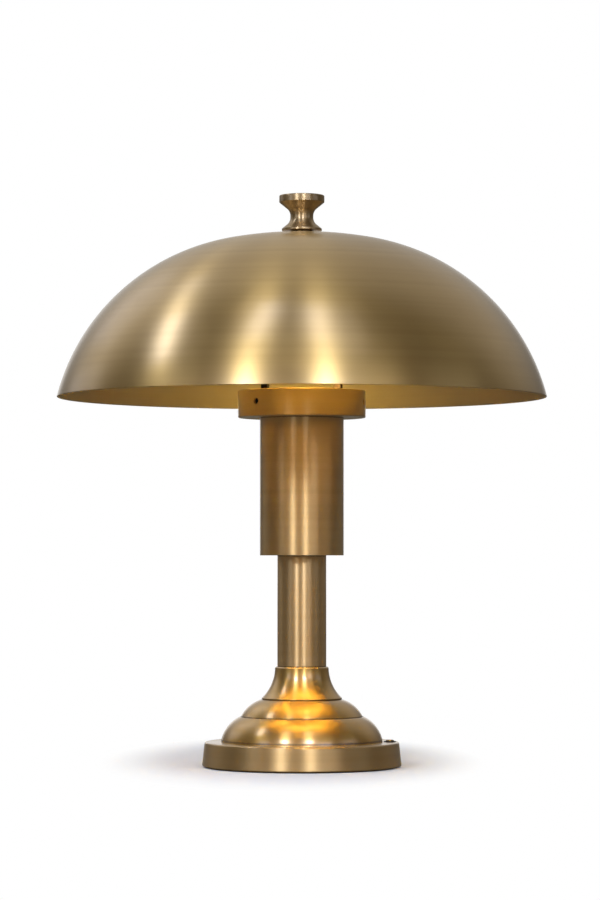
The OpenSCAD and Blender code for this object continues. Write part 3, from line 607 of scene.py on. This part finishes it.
class HalfSection:
    """Half section of a turned piece, drawn from corner to corner and along arcs, in metres."""

    steps_round = 4
    guard = 0.35
    most_of_side = 0.45

    def __init__(self, closed: bool = True) -> None:
        """Starts an empty outline; an open one begins and ends on the axis."""
        self.corners: list[Vector] = []
        self.rounds: list[float] = []
        self.closed = closed

    def to(self, r: float, z: float, round: float = 0.0) -> "HalfSection":
        """Adds a corner that is rounded by a radius, and returns the outline itself."""
        self.corners.append(Vector((r, z)))
        self.rounds.append(round)
        return self

    def arc(self, centre: Point, radius: float, start: float, end: float, steps: int,
            lead: float = 0.0, trail: float = 0.0) -> None:
        """Adds points along an arc.

        Args:
            centre: distance from the axis and height of the arc's centre.
            radius: the arc's radius.
            start, end: angles of its first and last points, in radians from outwards.
            steps: how many stretches it has.
            lead, trail: radii that round its first and last points.
        """
        for i in range(steps + 1):
            turn = start + (end - start) * i / steps
            rounding = lead if i == 0 else trail if i == steps else 0.0
            self.to(centre[0] + radius * math.cos(turn), centre[1] + radius * math.sin(turn), rounding)

    def rise(self, centre: Point, radius: float, heights: Point, steps: int, lead: float, trail: float,
             hollow: bool = False) -> None:
        """Adds points along an arc between two heights.

        Args:
            centre, radius, steps, lead, trail: as for arc.
            heights: heights of its first and last points.
            hollow: whether the arc is on the axis's side of its centre.
        """
        turns = [math.asin((height - centre[1]) / radius) for height in heights]
        start, end = [math.pi - turn for turn in turns] if hollow else turns
        self.arc(centre, radius, start, end, steps, lead, trail)

    def outline(self) -> list[Point]:
        """Returns the outline's points. A rounded corner is an arc, held by a guard point on each side."""
        made: list[Point] = []
        count = len(self.corners)
        for i, (at, rounding) in enumerate(zip(self.corners, self.rounds)):
            inner = self.closed or 0 < i < count - 1
            if rounding <= 0 or not inner:
                made.append(tuple(at))
                continue
            back, on = self.corners[i - 1] - at, self.corners[(i + 1) % count] - at
            reach = self.most_of_side * min(back.length, on.length)
            back.normalize()
            on.normalize()
            half = 0.5 * back.angle(on)
            run = min(rounding / math.tan(half), reach)
            radius = run * math.tan(half)
            centre = at + (back + on).normalized() * (radius / math.sin(half))
            first, last = at + back * run - centre, at + on * run - centre
            turn = first.angle_signed(last)
            hold = min(self.guard * radius, reach)
            made.append(tuple(at + back * (run + hold)))
            for k in range(self.steps_round + 1):
                bent = first.copy()
                bent.rotate(Matrix.Rotation(-turn * k / self.steps_round, 2))
                made.append(tuple(centre + bent))
            made.append(tuple(at + on * (run + hold)))
        return made


def ring_section(bore: float, radius: float, low: float, high: float, edge: float) -> HalfSection:
    """Returns the half section of a plain ring or tube.

    Args:
        bore, radius: its inner and outer radius.
        low, high: heights of its foot and its top.
        edge: radius that rounds its four edges.

    Returns:
        The closed outline.
    """
    return HalfSection().to(bore, low, edge).to(radius, low, edge).to(radius, high, edge).to(bore, high, edge)


def enclosed_area(points: list[Point]) -> float:
    """Returns the signed area inside an outline, positive when it runs anticlockwise."""
    return 0.5 * sum(a[0] * b[1] - b[0] * a[1] for a, b in zip(points, points[1:] + points[:1]))


class FormGroup(NodeGroup):
    """A Geometry Nodes tree that makes a whole piece."""

    kind = "GeometryNodeTree"
    outputs = {"Geometry": "Geometry"}

    def dressed(self, nodes: Nodes, shape: Socket, finish: Socket) -> Socket:
        """Returns the socket of a shape with its instances realized and its material set."""
        real = nodes.out("GeometryNodeRealizeInstances", {"Geometry": shape})
        return nodes.out("GeometryNodeSetMaterial", {"Geometry": real, "Material": finish})

    def run(self, name: str, data: bpy.types.ID, inputs: dict[str, object]) -> Object:
        """Runs the tree once and makes a plain piece of what it gives.

        Args:
            name: the piece's name.
            data: the curve or mesh that the tree starts from.
            inputs: values of the tree's inputs by name.

        Returns:
            The piece, at the origin, with its faces pointing outwards.
        """
        host = new_object(name + "_host", data)
        modifier = host.modifiers.new("shape", "NODES")
        modifier.node_group = self.tree()
        for item in modifier.node_group.interface.items_tree:
            if item.in_out == "INPUT" and item.name in inputs:
                modifier[item.identifier] = inputs[item.name]
        graph = bpy.context.evaluated_depsgraph_get()
        graph.update()
        mesh = bpy.data.meshes.new_from_object(host.evaluated_get(graph), preserve_all_data_layers=True,
                                               depsgraph=graph)
        host.modifiers.remove(modifier)
        bpy.data.objects.remove(host)
        work = bmesh.new()
        work.from_mesh(mesh)
        if work.calc_volume(signed=True) < 0:
            bmesh.ops.reverse_faces(work, faces=work.faces)
        work.to_mesh(mesh)
        work.free()
        mesh.name = name
        return new_object(name, mesh)


class TurnedForm(FormGroup):
    """Geometry Nodes tree that turns a half section round the Z axis into a closed, smooth mesh."""

    name = "Turned form"
    inputs = {"Half Section": "Geometry", "Steps Round": "Int", "Pivot Radius": "Float",
              "Middle Height": "Float", "Finish": "Material", "Inner Finish": "Material"}
    pivot = 10 * MM
    weld = 1e-6
    sharp_from = math.radians(35)

    def fill(self, nodes: Nodes, given: Outputs) -> Sockets:
        """Sweeps the section round a circle, closes it, and lines the faces that look at its middle."""
        path = nodes.out("GeometryNodeCurvePrimitiveCircle",
                         {"Resolution": given["Steps Round"], "Radius": given["Pivot Radius"]}, mode="RADIUS")
        path = nodes.out("GeometryNodeSetCurveNormal", {"Curve": path}, mode="Z_UP")
        shape = nodes.out("GeometryNodeCurveToMesh", {"Curve": path, "Profile Curve": given["Half Section"]})
        shape = nodes.out("GeometryNodeMergeByDistance", {"Geometry": shape, "Distance": self.weld})
        shape = nodes.out("GeometryNodeSetShadeSmooth", {"Geometry": shape}, domain="FACE")
        bend = nodes.out("GeometryNodeInputMeshEdgeAngle", output="Unsigned Angle")
        corner = nodes.out("FunctionNodeCompare", {0: bend, 1: self.sharp_from}, data_type="FLOAT",
                           operation="GREATER_THAN")
        shape = nodes.out("GeometryNodeSetShadeSmooth",
                          {"Geometry": shape, "Selection": corner, "Shade Smooth": False}, domain="EDGE")
        shape = self.dressed(nodes, shape, given["Finish"])
        centre = nodes.out("ShaderNodeCombineXYZ", {"Z": given["Middle Height"]})
        away = nodes.out("ShaderNodeVectorMath", {0: nodes.out("GeometryNodeInputPosition"), 1: centre},
                         operation="SUBTRACT")
        facing = nodes.out("ShaderNodeVectorMath", {0: nodes.out("GeometryNodeInputNormal"), 1: away}, "Value",
                           operation="DOT_PRODUCT")
        inwards = nodes.out("FunctionNodeCompare", {0: facing, 1: 0.0}, data_type="FLOAT",
                            operation="LESS_THAN")
        lining = {"Geometry": shape, "Selection": inwards, "Material": given["Inner Finish"]}
        return {"Geometry": nodes.out("GeometryNodeSetMaterial", lining)}

    def make(self, name: str, section: HalfSection, finish: Finish, inner: Finish | None = None,
             middle: float = 0.0, steps: int = 160) -> Object:
        """Turns one piece.

        Args:
            name: the piece's name.
            section: its half section.
            finish: its finish.
            inner: finish of the faces that look at its middle, or None for the same finish.
            middle: height of that middle.
            steps: how many steps it has round the axis.

        Returns:
            The piece, as a plain mesh at the origin.
        """
        curve = bpy.data.curves.new(name + "_section", "CURVE")
        curve.dimensions = "3D"
        line = curve.splines.new("POLY")
        points = section.outline()
        if enclosed_area(points) > 0:
            points.reverse()
        line.points.add(len(points) - 1)
        for point, (r, z) in zip(line.points, points):
            point.co = (r - self.pivot, -z, 0.0, 1.0)
        line.use_cyclic_u = section.closed
        return self.run(name, curve, {
            "Steps Round": steps,
            "Pivot Radius": self.pivot,
            "Middle Height": middle,
            "Finish": finish.material(),
            "Inner Finish": (inner or finish).material(),
        })


class CoilForm(FormGroup):
    """Geometry Nodes tree that winds round wire into a coil spring round an upright axis."""

    name = "Coil spring"
    inputs = {"Foot": "Vector", "Turns": "Float", "Coil Radius": "Float", "Wire Radius": "Float",
              "Rise": "Float", "Finish": "Material"}
    steps_a_turn = 32
    wire_sides = 10

    def fill(self, nodes: Nodes, given: Outputs) -> Sockets:
        """Sweeps a small circle along a spiral of one radius."""
        coil = nodes.out("GeometryNodeCurveSpiral", {
            "Resolution": self.steps_a_turn,
            "Rotations": given["Turns"],
            "Start Radius": given["Coil Radius"],
            "End Radius": given["Coil Radius"],
            "Height": given["Rise"],
        })
        wire = nodes.out("GeometryNodeCurvePrimitiveCircle",
                         {"Resolution": self.wire_sides, "Radius": given["Wire Radius"]}, mode="RADIUS")
        shape = nodes.out("GeometryNodeCurveToMesh", {"Curve": coil, "Profile Curve": wire, "Fill Caps": True})
        shape = nodes.out("GeometryNodeTransform", {"Geometry": shape, "Translation": given["Foot"]})
        return {"Geometry": self.dressed(nodes, shape, given["Finish"])}

    def make(self, name: str, foot: Vector, turns: float, radius: float, wire: float, rise: float,
             finish: Finish) -> Object:
        """Winds one spring.

        Args:
            name: the piece's name.
            foot: middle of its lowest turn.
            turns: how many turns it has.
            radius: radius of the coil, to the wire's middle.
            wire: radius of the wire.
            rise: height from the first turn's middle to the last one's.
            finish: its finish.

        Returns:
            The piece, as a plain mesh at the origin.
        """
        piece = self.run(name, bpy.data.meshes.new(name + "_host"), {
            "Foot": foot,
            "Turns": turns,
            "Coil Radius": radius,
            "Wire Radius": wire,
            "Rise": rise,
            "Finish": finish.material(),
        })
        piece.data.shade_smooth()
        return piece


TURNING = TurnedForm()
COILING = CoilForm()


# ---------------------------------------------------------------- sub-assemblies


@dataclass
class SubAssembly:
    """A group of pieces of one body, some made here and the others packed."""

    finishes: ClassVar[dict[Finish, tuple[str, ...]]] = {}
    body: str = "stand"

    def build(self) -> None:
        """Makes the pieces of this group that have a finer form here."""

    def dress(self) -> None:
        """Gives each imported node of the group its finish."""
        for finish, nodes in self.finishes.items():
            for node in nodes:
                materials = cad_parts[node].data.materials
                materials.clear()
                materials.append(finish.material())
                log.info("dressed %s in %s", node, finish.name)

    def put(self, piece: Object, node: str, slot: str) -> None:
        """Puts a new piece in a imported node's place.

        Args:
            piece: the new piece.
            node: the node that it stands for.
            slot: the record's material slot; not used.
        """
        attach(piece, self.body)
        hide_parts(node)
        log.info("%s: %d faces, stands for %s", piece.name, len(piece.data.polygons), node)


@dataclass
class Shade(SubAssembly):
    """The spun dome, brushed outside and duller inside."""

    body: str = "shade"
    rim_radius: float = 200 * MM
    rim_z: float = 302 * MM
    height: float = 134.5 * MM
    crown_arc: float = 336 * MM
    side_arc: float = 175 * MM
    sheet: float = 1.2 * MM
    hole_radius: float = 5.05 * MM
    rim_round: float = 0.35 * MM
    crown_steps: int = 24
    side_steps: int = 60
    steps_round: int = 256

    def build(self) -> None:
        """Spins the dome from its two arcs, with a rounded rim."""
        crown = Vector((0.0, self.rim_z + self.height - self.crown_arc))
        step = self.crown_arc - self.side_arc
        rim = Vector((self.rim_radius, self.rim_z)) - crown
        along = (step**2 - self.side_arc**2 + rim.length_squared) / (2 * rim.length)
        off = math.sqrt(step**2 - along**2)
        way = rim.normalized()
        side = crown + along * way + off * Vector((-way.y, way.x))
        meet = math.atan2(side.y - crown.y, side.x - crown.x)
        section = HalfSection()
        for inset, down in ((0.0, True), (self.sheet, False)):
            crown_r, side_r = self.crown_arc - inset, self.side_arc - inset
            hole = math.acos(self.hole_radius / crown_r)
            low = math.asin((self.rim_z - side.y) / side_r)
            mid = meet - (meet - low) / self.side_steps
            if down:
                section.arc(crown, crown_r, hole, meet, self.crown_steps, lead=self.rim_round)
                section.arc(side, side_r, mid, low, self.side_steps, trail=self.rim_round)
            else:
                section.arc(side, side_r, low, mid, self.side_steps, lead=self.rim_round)
                section.arc(crown, crown_r, meet, hole, self.crown_steps, trail=self.rim_round)
        piece = TURNING.make("shade_shell", section, SHADE_BRASS, SHADE_INSIDE, self.rim_z, self.steps_round)
        self.put(piece, "shade_dome", "shade_brass")


@dataclass
class Finial(SubAssembly):
    """The turned knob and its spacer."""

    body: str = "finial"
    foot_z: float = 438.4 * MM
    height: float = 29 * MM
    disc_radius: float = 18.5 * MM
    disc_height: float = 6 * MM
    waist_radius: float = 9.4 * MM
    waist_height: float = 1.3 * MM
    foot_radius: float = 16.4 * MM
    foot_height: float = 1.7 * MM
    slope: float = math.radians(51)
    edge: float = 0.4 * MM
    foot_rounding: float = 0.5
    top_rounding: float = 2.2
    hole_radius: float = 3.1 * MM
    hole_depth: float = 13.5 * MM
    hole_edge: float = 0.2 * MM
    drill_point: float = 0.6
    spacer_radius: float = 9 * MM
    spacer_height: float = 1.8 * MM
    spacer_edge: float = 0.3 * MM
    arc_steps: int = 14

    def build(self) -> None:
        """Turns both pieces."""
        self.put(TURNING.make("knob", self._knob(), KNOB_BRASS), "finial_knob", "knob_brass")
        spacer = ring_section(self.hole_radius, self.spacer_radius, self.foot_z - self.spacer_height,
                              self.foot_z, self.spacer_edge)
        self.put(TURNING.make("knob_spacer", spacer, KNOB_BRASS), "finial_spacer", "trim_brass")

    def _knob(self) -> HalfSection:
        """Returns the knob's outline: two flares and two arcs that meet at a straight waist."""
        low_r = self.disc_radius - self.edge
        tan, sin, cos = math.tan(self.slope), math.sin(self.slope), math.cos(self.slope)
        run = (self.foot_radius + low_r - 2 * self.waist_radius) / tan
        between = self.height - self.disc_height - self.foot_height
        arc = (between - self.waist_height - run) / 2 / (sin - (1 - cos) / tan)
        touch = self.waist_radius + arc * (1 - cos)
        foot_touch = self.foot_height + (self.foot_radius - touch) / tan
        disc_touch = self.height - self.disc_height - (low_r - touch) / tan
        z, at = self.foot_z, self.waist_radius + arc
        section = HalfSection(closed=False)
        section.to(0.0, z + self.hole_depth + self.drill_point * self.hole_radius)
        section.to(self.hole_radius, z + self.hole_depth, self.hole_edge)
        section.to(self.hole_radius, z, self.edge)
        section.to(self.foot_radius, z, self.edge)
        section.to(self.foot_radius, z + self.foot_height, self.foot_rounding * self.edge)
        section.arc((at, z + foot_touch + arc * sin), arc, math.pi + self.slope, math.pi, self.arc_steps)
        section.arc((at, z + disc_touch - arc * sin), arc, math.pi, math.pi - self.slope, self.arc_steps)
        section.to(low_r, z + self.height - self.disc_height, self.edge)
        section.to(self.disc_radius, z + self.height - self.disc_height + self.edge, self.edge)
        section.to(self.disc_radius, z + self.height, self.top_rounding * self.edge)
        section.to(0.0, z + self.height)
        return section


@dataclass
class Bracket(SubAssembly):
    """The strap that carries the shade, with its stud, seat and screws."""

    finishes = {
        SHADED_BRACKET_PAINT: ("shade_bracket",),
        ZINC_STEEL: ("bracket_screws", "bracket_stud", "stud_nut", "shade_seat"),
        FIBRE: ("fibre_washer",),
    }


@dataclass
class Sleeve(SubAssembly):
    """The sleeve round the bulb and its collar ring."""

    radius: float = 34.3 * MM
    wall: float = 1.5 * MM
    foot_z: float = 173 * MM
    top_z: float = 305 * MM
    edge: float = 0.3 * MM
    finishes = {
        STAND_BRASS: ("sleeve_floor",),
        COLLAR_BRASS: ("collar_ring",),
        BLACK_STEEL: ("collar_set_screws",),
    }

    def build(self) -> None:
        """Turns the tube."""
        section = ring_section(self.radius - self.wall, self.radius, self.foot_z, self.top_z, self.edge)
        middle = (self.foot_z + self.top_z) / 2
        piece = TURNING.make("sleeve_shell", section, STAND_BRASS, SLEEVE_INSIDE, middle)
        self.put(piece, "sleeve_tube", "stand_brass")


@dataclass
class Stem(SubAssembly):
    """The stem tube and the pipe that ties the stack together."""

    radius: float = 20 * MM
    wall: float = 1.5 * MM
    foot_z: float = 76 * MM
    top_z: float = 176 * MM
    edge: float = 0.3 * MM
    finishes = {
        ZINC_STEEL: ("tie_pipe", "lower_pipe_nut", "lower_pipe_washer",
                     "upper_pipe_nut", "upper_pipe_washer"),
    }

    def build(self) -> None:
        """Turns the tube."""
        section = ring_section(self.radius - self.wall, self.radius, self.foot_z, self.top_z, self.edge)
        self.put(TURNING.make("stem_shell", section, STEM_BRASS), "stem_tube", "stand_brass")


@dataclass
class Base(SubAssembly):
    """The plate, the two steps and the cove, with the ballast and cover below."""

    wall: float = 3.5 * MM
    web: float = 4 * MM
    bore: float = 5.2 * MM
    edge: float = 0.35 * MM
    step_z: float = 41.2 * MM
    step_height: float = 14.3 * MM
    step_radius: float = 49.9 * MM
    step_arc: float = 27.5 * MM
    step_drop: float = 12.3 * MM
    register_radius: float = 27.33 * MM
    register_height: float = 1.5 * MM
    register_foot: float = 0.1 * MM
    cove_z: float = 55.5 * MM
    cove_height: float = 26.5 * MM
    cove_arc: float = 35.3 * MM
    cove_top_radius: float = 21.9 * MM
    lip: float = 1 * MM
    bevel: float = 0.8 * MM
    bevel_rounding: float = 0.4
    seat_radius: float = 20.05 * MM
    seat_depth: float = 6 * MM
    seat_rounding: float = 0.3
    outer_steps: int = 22
    inner_steps: int = 14
    finishes = {
        STAND_BRASS: ("base_plate",),
        STEP_BRASS: ("lower_step",),
        BALLAST_IRON: ("ballast_ring",),
        ZINC_STEEL: ("bottom_cover", "cover_screws"),
        BLACK_STEEL: ("step_screws",),
        FELT: ("felt_pad",),
    }

    def build(self) -> None:
        """Turns the middle step and the cove."""
        self.put(TURNING.make("middle_step_shell", self._step(), STEP_BRASS), "middle_step", "stand_brass")
        self.put(TURNING.make("cove_shell", self._cove(), STEP_BRASS), "cove_collar", "stand_brass")

    def _step(self) -> HalfSection:
        """Returns the middle step's outline: a round shoulder over a hollow foot."""
        z, top = self.step_z, self.step_z + self.step_height
        centre = (self.step_radius - math.sqrt(self.step_arc**2 - self.step_drop**2), z - self.step_drop)
        edge = self.edge
        section = HalfSection()
        section.rise(centre, self.step_arc, (z, top), self.outer_steps, edge, edge)
        section.to(self.register_radius, top, self.register_foot)
        section.to(self.register_radius, top + self.register_height, edge)
        section.to(self.bore, top + self.register_height, edge)
        section.to(self.bore, top - self.web, edge)
        section.rise(centre, self.step_arc - self.wall, (top - self.web, z), self.inner_steps, edge, edge)
        return section

    def _cove(self) -> HalfSection:
        """Returns the cove's outline: a hollow curve from its lip up to the stem's seat."""
        z, top = self.cove_z, self.cove_z + self.cove_height
        centre = (self.cove_top_radius + self.cove_arc, top)
        edge, web_top = self.edge, top - self.seat_depth
        bevelled = self.bevel_rounding * edge
        lip_r = centre[0] - math.sqrt(self.cove_arc**2 - (self.cove_height - self.lip)**2)
        section = HalfSection().to(lip_r, z, edge)
        section.rise(centre, self.cove_arc, (z + self.lip, top - self.bevel), self.outer_steps, edge, bevelled,
                     hollow=True)
        section.to(self.cove_top_radius - self.bevel, top, bevelled)
        section.to(self.seat_radius, top, self.seat_rounding * edge)
        section.to(self.seat_radius, web_top, edge)
        section.to(self.bore, web_top, edge)
        section.to(self.bore, web_top - self.web, edge)
        section.rise(centre, self.cove_arc + self.wall, (web_top - self.web, z), self.inner_steps, edge, edge,
                     hollow=True)
        return section


@dataclass
class Lampholder(SubAssembly):
    """The bulb's holder."""

    finishes = {
        BLACK_PLASTIC: ("holder_cap", "holder_skirt"),
        CERAMIC: ("holder_core",),
        CONTACT_BRASS: ("holder_contact", "holder_liner"),
    }


@dataclass
class Bulb(SubAssembly):
    """The lit bulb."""

    body: str = "bulb"
    finishes = {
        OPAL_GLASS: ("bulb_glass",),
        CAP_ALLOY: ("bulb_cap", "bulb_tip"),
        BLACK_GLASS: ("bulb_insulator",),
    }


@dataclass
class PushSwitch(SubAssembly):
    """The push switch in the plate, whose spring is wound here at one length; on the real switch it shortens as
    the button goes down.
    """

    turns: float = 5.0
    wire: float = 0.25 * MM
    travel: float = 1 * MM
    slack: float = 0.02 * MM
    finishes = {
        BLACK_STEEL: ("switch_bush",),
        ZINC_STEEL: ("switch_nut",),
        BLACK_PLASTIC: ("switch_body",),
        BUTTON_BRASS: ("switch_button",),
    }

    def build(self) -> None:
        """Winds the spring between its seat and the button."""
        low, high = (Vector(corner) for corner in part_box("switch_spring"))
        middle = (low + high) / 2
        height = high.z - low.z
        margin = self.wire + self.slack
        foot = Vector((middle.x, middle.y, low.z + margin))
        piece = COILING.make("spring_coil", foot, self.turns, (high.x - low.x) / 2 - margin, self.wire,
                             height - 2 * margin, SPRING_STEEL)
        self.put(piece, "switch_spring", "spring_steel")
        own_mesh(piece)


@dataclass
class Wiring(SubAssembly):
    """The inlet, the terminal block and the two leads."""

    finishes = {
        BLACK_RUBBER: ("cord_grommet",),
        PALE_PLASTIC: ("terminal_block",),
        LEAD_SLEEVING: ("switch_lead", "lamp_lead"),
    }


# ---------------------------------------------------------------- studio


class Rays(Enum):
    """Kinds of light path that the studio tells apart."""

    CAMERA = "Is Camera Ray"
    GLOSSY = "Is Glossy Ray"
    TRANSMISSION = "Is Transmission Ray"


COOL_STRIP = (0.92, 1.02, 1.32)
WARM_STRIP = (1.05, 0.90, 0.62)


@dataclass(frozen=True)
class Strip:
    """A soft strip lamp whose ends are placed by bearing and rise in degrees, as seen from the desk lamp.

    The power factor is the watts that give a square metre of lamp one unit of radiance.
    """

    name: str
    low: Point
    high: Point
    width: float
    radiance: float
    colour: Colour = COOL_STRIP
    distance: float = 2.1
    aim: Place = (0.0, 0.0, 0.25)
    power_factor: float = 4.0

    def build(self) -> None:
        """Makes the lamp, square to its line of sight."""
        first, last = self._spot(self.low), self._spot(self.high)
        centre = (first + last) / 2
        away = (centre - Vector(self.aim)).normalized()
        side = (last - first).normalized().cross(away).normalized()
        turn = Matrix((side, away.cross(side), away)).transposed()
        data = bpy.data.lights.new(self.name, "AREA")
        data.shape = "RECTANGLE"
        data.size, data.size_y = self.width, (last - first).length
        data.color = self.colour
        data.energy = self.radiance * self.power_factor * data.size * data.size_y
        lamp = new_object(self.name, data)
        lamp.matrix_world = Matrix.Translation(centre) @ turn.to_4x4()
        lamp.visible_camera = False
        log.info("lamp %s at %s", self.name, tuple(round(v, 2) for v in centre))

    def _spot(self, place: Point) -> Vector:
        """Returns the point at a bearing and rise; bearings go right from the camera's side."""
        turn, lift = math.radians(place[0]), math.radians(place[1])
        way = Vector((math.sin(turn) * math.cos(lift), -math.cos(turn) * math.cos(lift), math.sin(lift)))
        return Vector(self.aim) + way * self.distance


@dataclass
class Studio:
    """White background, pale floor, soft lamps and the camera."""

    room: Colour = (0.10, 0.092, 0.08)
    front: Colour = (0.82, 0.66, 0.44)
    rear: Colour = (0.54, 0.53, 0.51)
    fill: Colour = (0.55, 0.55, 0.55)
    lean: float = -0.04
    behind: Ramp = Ramp(0.93, 0.99)
    near_level: Ramp = Ramp(0.08, 0.40, 1.0, 0.0)
    above_level: Ramp = Ramp(0.02, 0.50)
    overhead_rise: float = 0.6
    overhead: Ramp = Ramp(0.42, 0.82)
    glow_low: Ramp = Ramp(0.08, 0.20)
    glow_high: Ramp = Ramp(0.30, 0.50, 1.0, 0.0)
    glow_ahead: Ramp = Ramp(-1.0, -0.35, 1.0, 0.0)
    dim_right: Ramp = Ramp(-0.7, 0.7, 1.0, 0.6)
    floor_radius: float = 12.0
    floor_sides: int = 96
    floor_colour: Colour = (0.81, 0.83, 0.85)
    floor_mirrored: Colour = (0.17, 0.145, 0.105)
    floor_squeeze: Place = (1.0, 0.45, 1.0)
    floor_shift: Place = (0.008, -0.040, 0.0)
    floor_fade: Ramp = Ramp(0.090, 0.166)
    glow_place: Place = (0.0, 0.0, 0.322)
    glow_radius: float = 0.016
    glow_watts: float = 0.48
    glow_colour: Colour = (1.0, 0.80, 0.22)
    lens: float = 123.72
    sensor: float = 36.0
    eye: Place = (-0.0015, -2.530, 0.171)
    rise_of_view: float = 0.1198
    lamps: tuple[Strip, ...] = (
        Strip("left strip sole", (-23.5, 1.0), (-23.8, 6.0), 0.26, 2.4, WARM_STRIP),
        Strip("left strip foot", (-23.8, 6.0), (-24.8, 18.5), 0.26, 0.7),
        Strip("left strip middle", (-24.8, 18.5), (-26.5, 27.0), 0.19, 32.0),
        Strip("left strip head", (-26.5, 27.0), (-31.0, 54.0), 0.22, 0.6),
        Strip("left strip top", (-31.0, 54.0), (-35.0, 74.0), 0.22, 3.5),
        Strip("right strip sole", (10.3, 1.0), (10.4, 6.0), 0.26, 2.4, WARM_STRIP),
        Strip("right strip foot", (10.4, 6.0), (10.5, 18.5), 0.26, 0.7),
        Strip("right strip middle", (10.5, 18.5), (11.0, 27.0), 0.19, 33.0),
        Strip("right strip head", (11.0, 27.0), (12.0, 54.0), 0.24, 0.6),
        Strip("right strip top", (12.0, 54.0), (14.0, 74.0), 0.24, 2.8),
        Strip("right skirt", (33.0, 9.0), (34.0, 21.0), 0.75, 1.7),
        Strip("left skirt", (-57.0, 9.0), (-57.0, 21.0), 0.6, 1.25),
        Strip("left far", (-120.0, 9.0), (-126.0, 21.0), 1.0, 0.22),
        Strip("left rear", (-130.0, 26.0), (-138.0, 46.0), 0.8, 0.24),
        Strip("right far", (72.0, 9.0), (72.0, 21.0), 1.0, 0.5),
        Strip("left box foot", (-76.5, 35.5), (-86.0, 45.5), 0.22, 4.6),
        Strip("left box middle", (-86.0, 45.5), (-96.0, 51.5), 0.26, 3.7),
        Strip("left box head", (-96.0, 51.5), (-133.0, 56.0), 0.22, 0.9),
        Strip("right shoulder", (27.0, 45.0), (31.0, 70.0), 0.5, 0.35),
    )

    def build(self) -> None:
        """Sets the stage in order."""
        self._world()
        self._floor()
        for lamp in self.lamps:
            lamp.build()
        self._bulb_glow()
        self._camera()

    def _world(self) -> None:
        """White for the camera and behind the lamp; a dim room in front of it; even fill for matt surfaces."""
        world = bpy.data.worlds.new("studio")
        bpy.context.scene.world = world
        nodes = bare_nodes(world)
        x, y, z = nodes.split(nodes.out("ShaderNodeTexCoord", output="Generated"))
        flat = nodes.math("MAXIMUM", nodes.distance(x, y), TINY)
        leaning = nodes.math("DIVIDE", nodes.math("MULTIPLY_ADD", x, self.lean, y), flat)
        overhead = nodes.math("MULTIPLY_ADD", z, self.overhead_rise, y)
        ahead = nodes.math("DIVIDE", y, flat)
        white, upper, glow = (nodes.fold("MULTIPLY", [nodes.ramp(*limit) for limit in limits]) for limits in (
            ((leaning, self.behind), (z, self.near_level)),
            ((z, self.above_level), (overhead, self.overhead), (x, self.dim_right)),
            ((z, self.glow_low), (z, self.glow_high), (ahead, self.glow_ahead)),
        ))
        around = nodes.mix(upper, nodes.mix(glow, self.room, self.front), self.rear)
        path = nodes.add("ShaderNodeLightPath").outputs
        plain = nodes.math("MAXIMUM", path[Rays.CAMERA.value], path[Rays.TRANSMISSION.value])
        seen = nodes.mix(path[Rays.GLOSSY.value], self.fill, nodes.mix(white, around, WHITE))
        sky = nodes.out("ShaderNodeBackground", {"Color": nodes.mix(plain, seen, WHITE)})
        nodes.add("ShaderNodeOutputWorld", {"Surface": sky})

    def _floor(self) -> None:
        """A round pale floor that fades into the white background away from the lamp."""
        mesh = bpy.data.meshes.new("floor")
        work = bmesh.new()
        bmesh.ops.create_circle(work, cap_ends=True, segments=self.floor_sides, radius=self.floor_radius)
        work.to_mesh(mesh)
        work.free()
        material = bpy.data.materials.new("studio floor")
        nodes = bare_nodes(material)
        spot = nodes.out("ShaderNodeTexCoord", output="Object")
        spot = nodes.out("ShaderNodeVectorMath", {0: spot, 1: self.floor_squeeze, 2: self.floor_shift},
                         operation="MULTIPLY_ADD")
        away = nodes.ramp(nodes.out("ShaderNodeVectorMath", {0: spot}, "Value", operation="LENGTH"),
                          self.floor_fade)
        camera = nodes.out("ShaderNodeLightPath", output=Rays.CAMERA.value)
        tone = nodes.mix(camera, self.floor_mirrored, self.floor_colour)
        near = nodes.out("ShaderNodeBsdfDiffuse", {"Color": tone})
        far = nodes.out("ShaderNodeEmission", {"Color": WHITE})
        blend = nodes.out("ShaderNodeMixShader", {0: nodes.math("MULTIPLY", away, camera), 1: near, 2: far})
        nodes.add("ShaderNodeOutputMaterial", {"Surface": blend})
        mesh.materials.append(material)
        new_object("floor", mesh)

    def _bulb_glow(self) -> None:
        """The light that a burning bulb sends up into the shade."""
        data = bpy.data.lights.new("bulb glow", "POINT")
        data.energy = self.glow_watts
        data.color = self.glow_colour
        data.shadow_soft_size = self.glow_radius
        lamp = new_object("bulb glow", data)
        lamp.location = self.glow_place
        lamp.visible_camera = False

    def _camera(self) -> None:
        """A level camera with a long lens, whose frame is raised instead of the camera being tilted."""
        data = bpy.data.cameras.new("camera")
        data.lens = self.lens
        data.sensor_width = self.sensor
        data.shift_y = self.rise_of_view
        camera = new_object("camera", data)
        camera.location = self.eye
        camera.rotation_euler = (math.radians(90), 0.0, 0.0)
        bpy.context.scene.camera = camera
        bpy.context.scene.view_settings.view_transform = "Standard"


def main() -> None:
    """Builds the lamp's looks and the studio, in order."""
    logging.basicConfig(level=logging.INFO, format="%(message)s")
    Studio().build()
    for part in (Shade(), Finial(), Bracket(), Sleeve(), Stem(), Base(), Lampholder(), Bulb(), PushSwitch(),
                 Wiring()):
        part.build()
        part.dress()
        log.info("%s done", type(part).__name__)


if __name__ == "__main__":
    main()
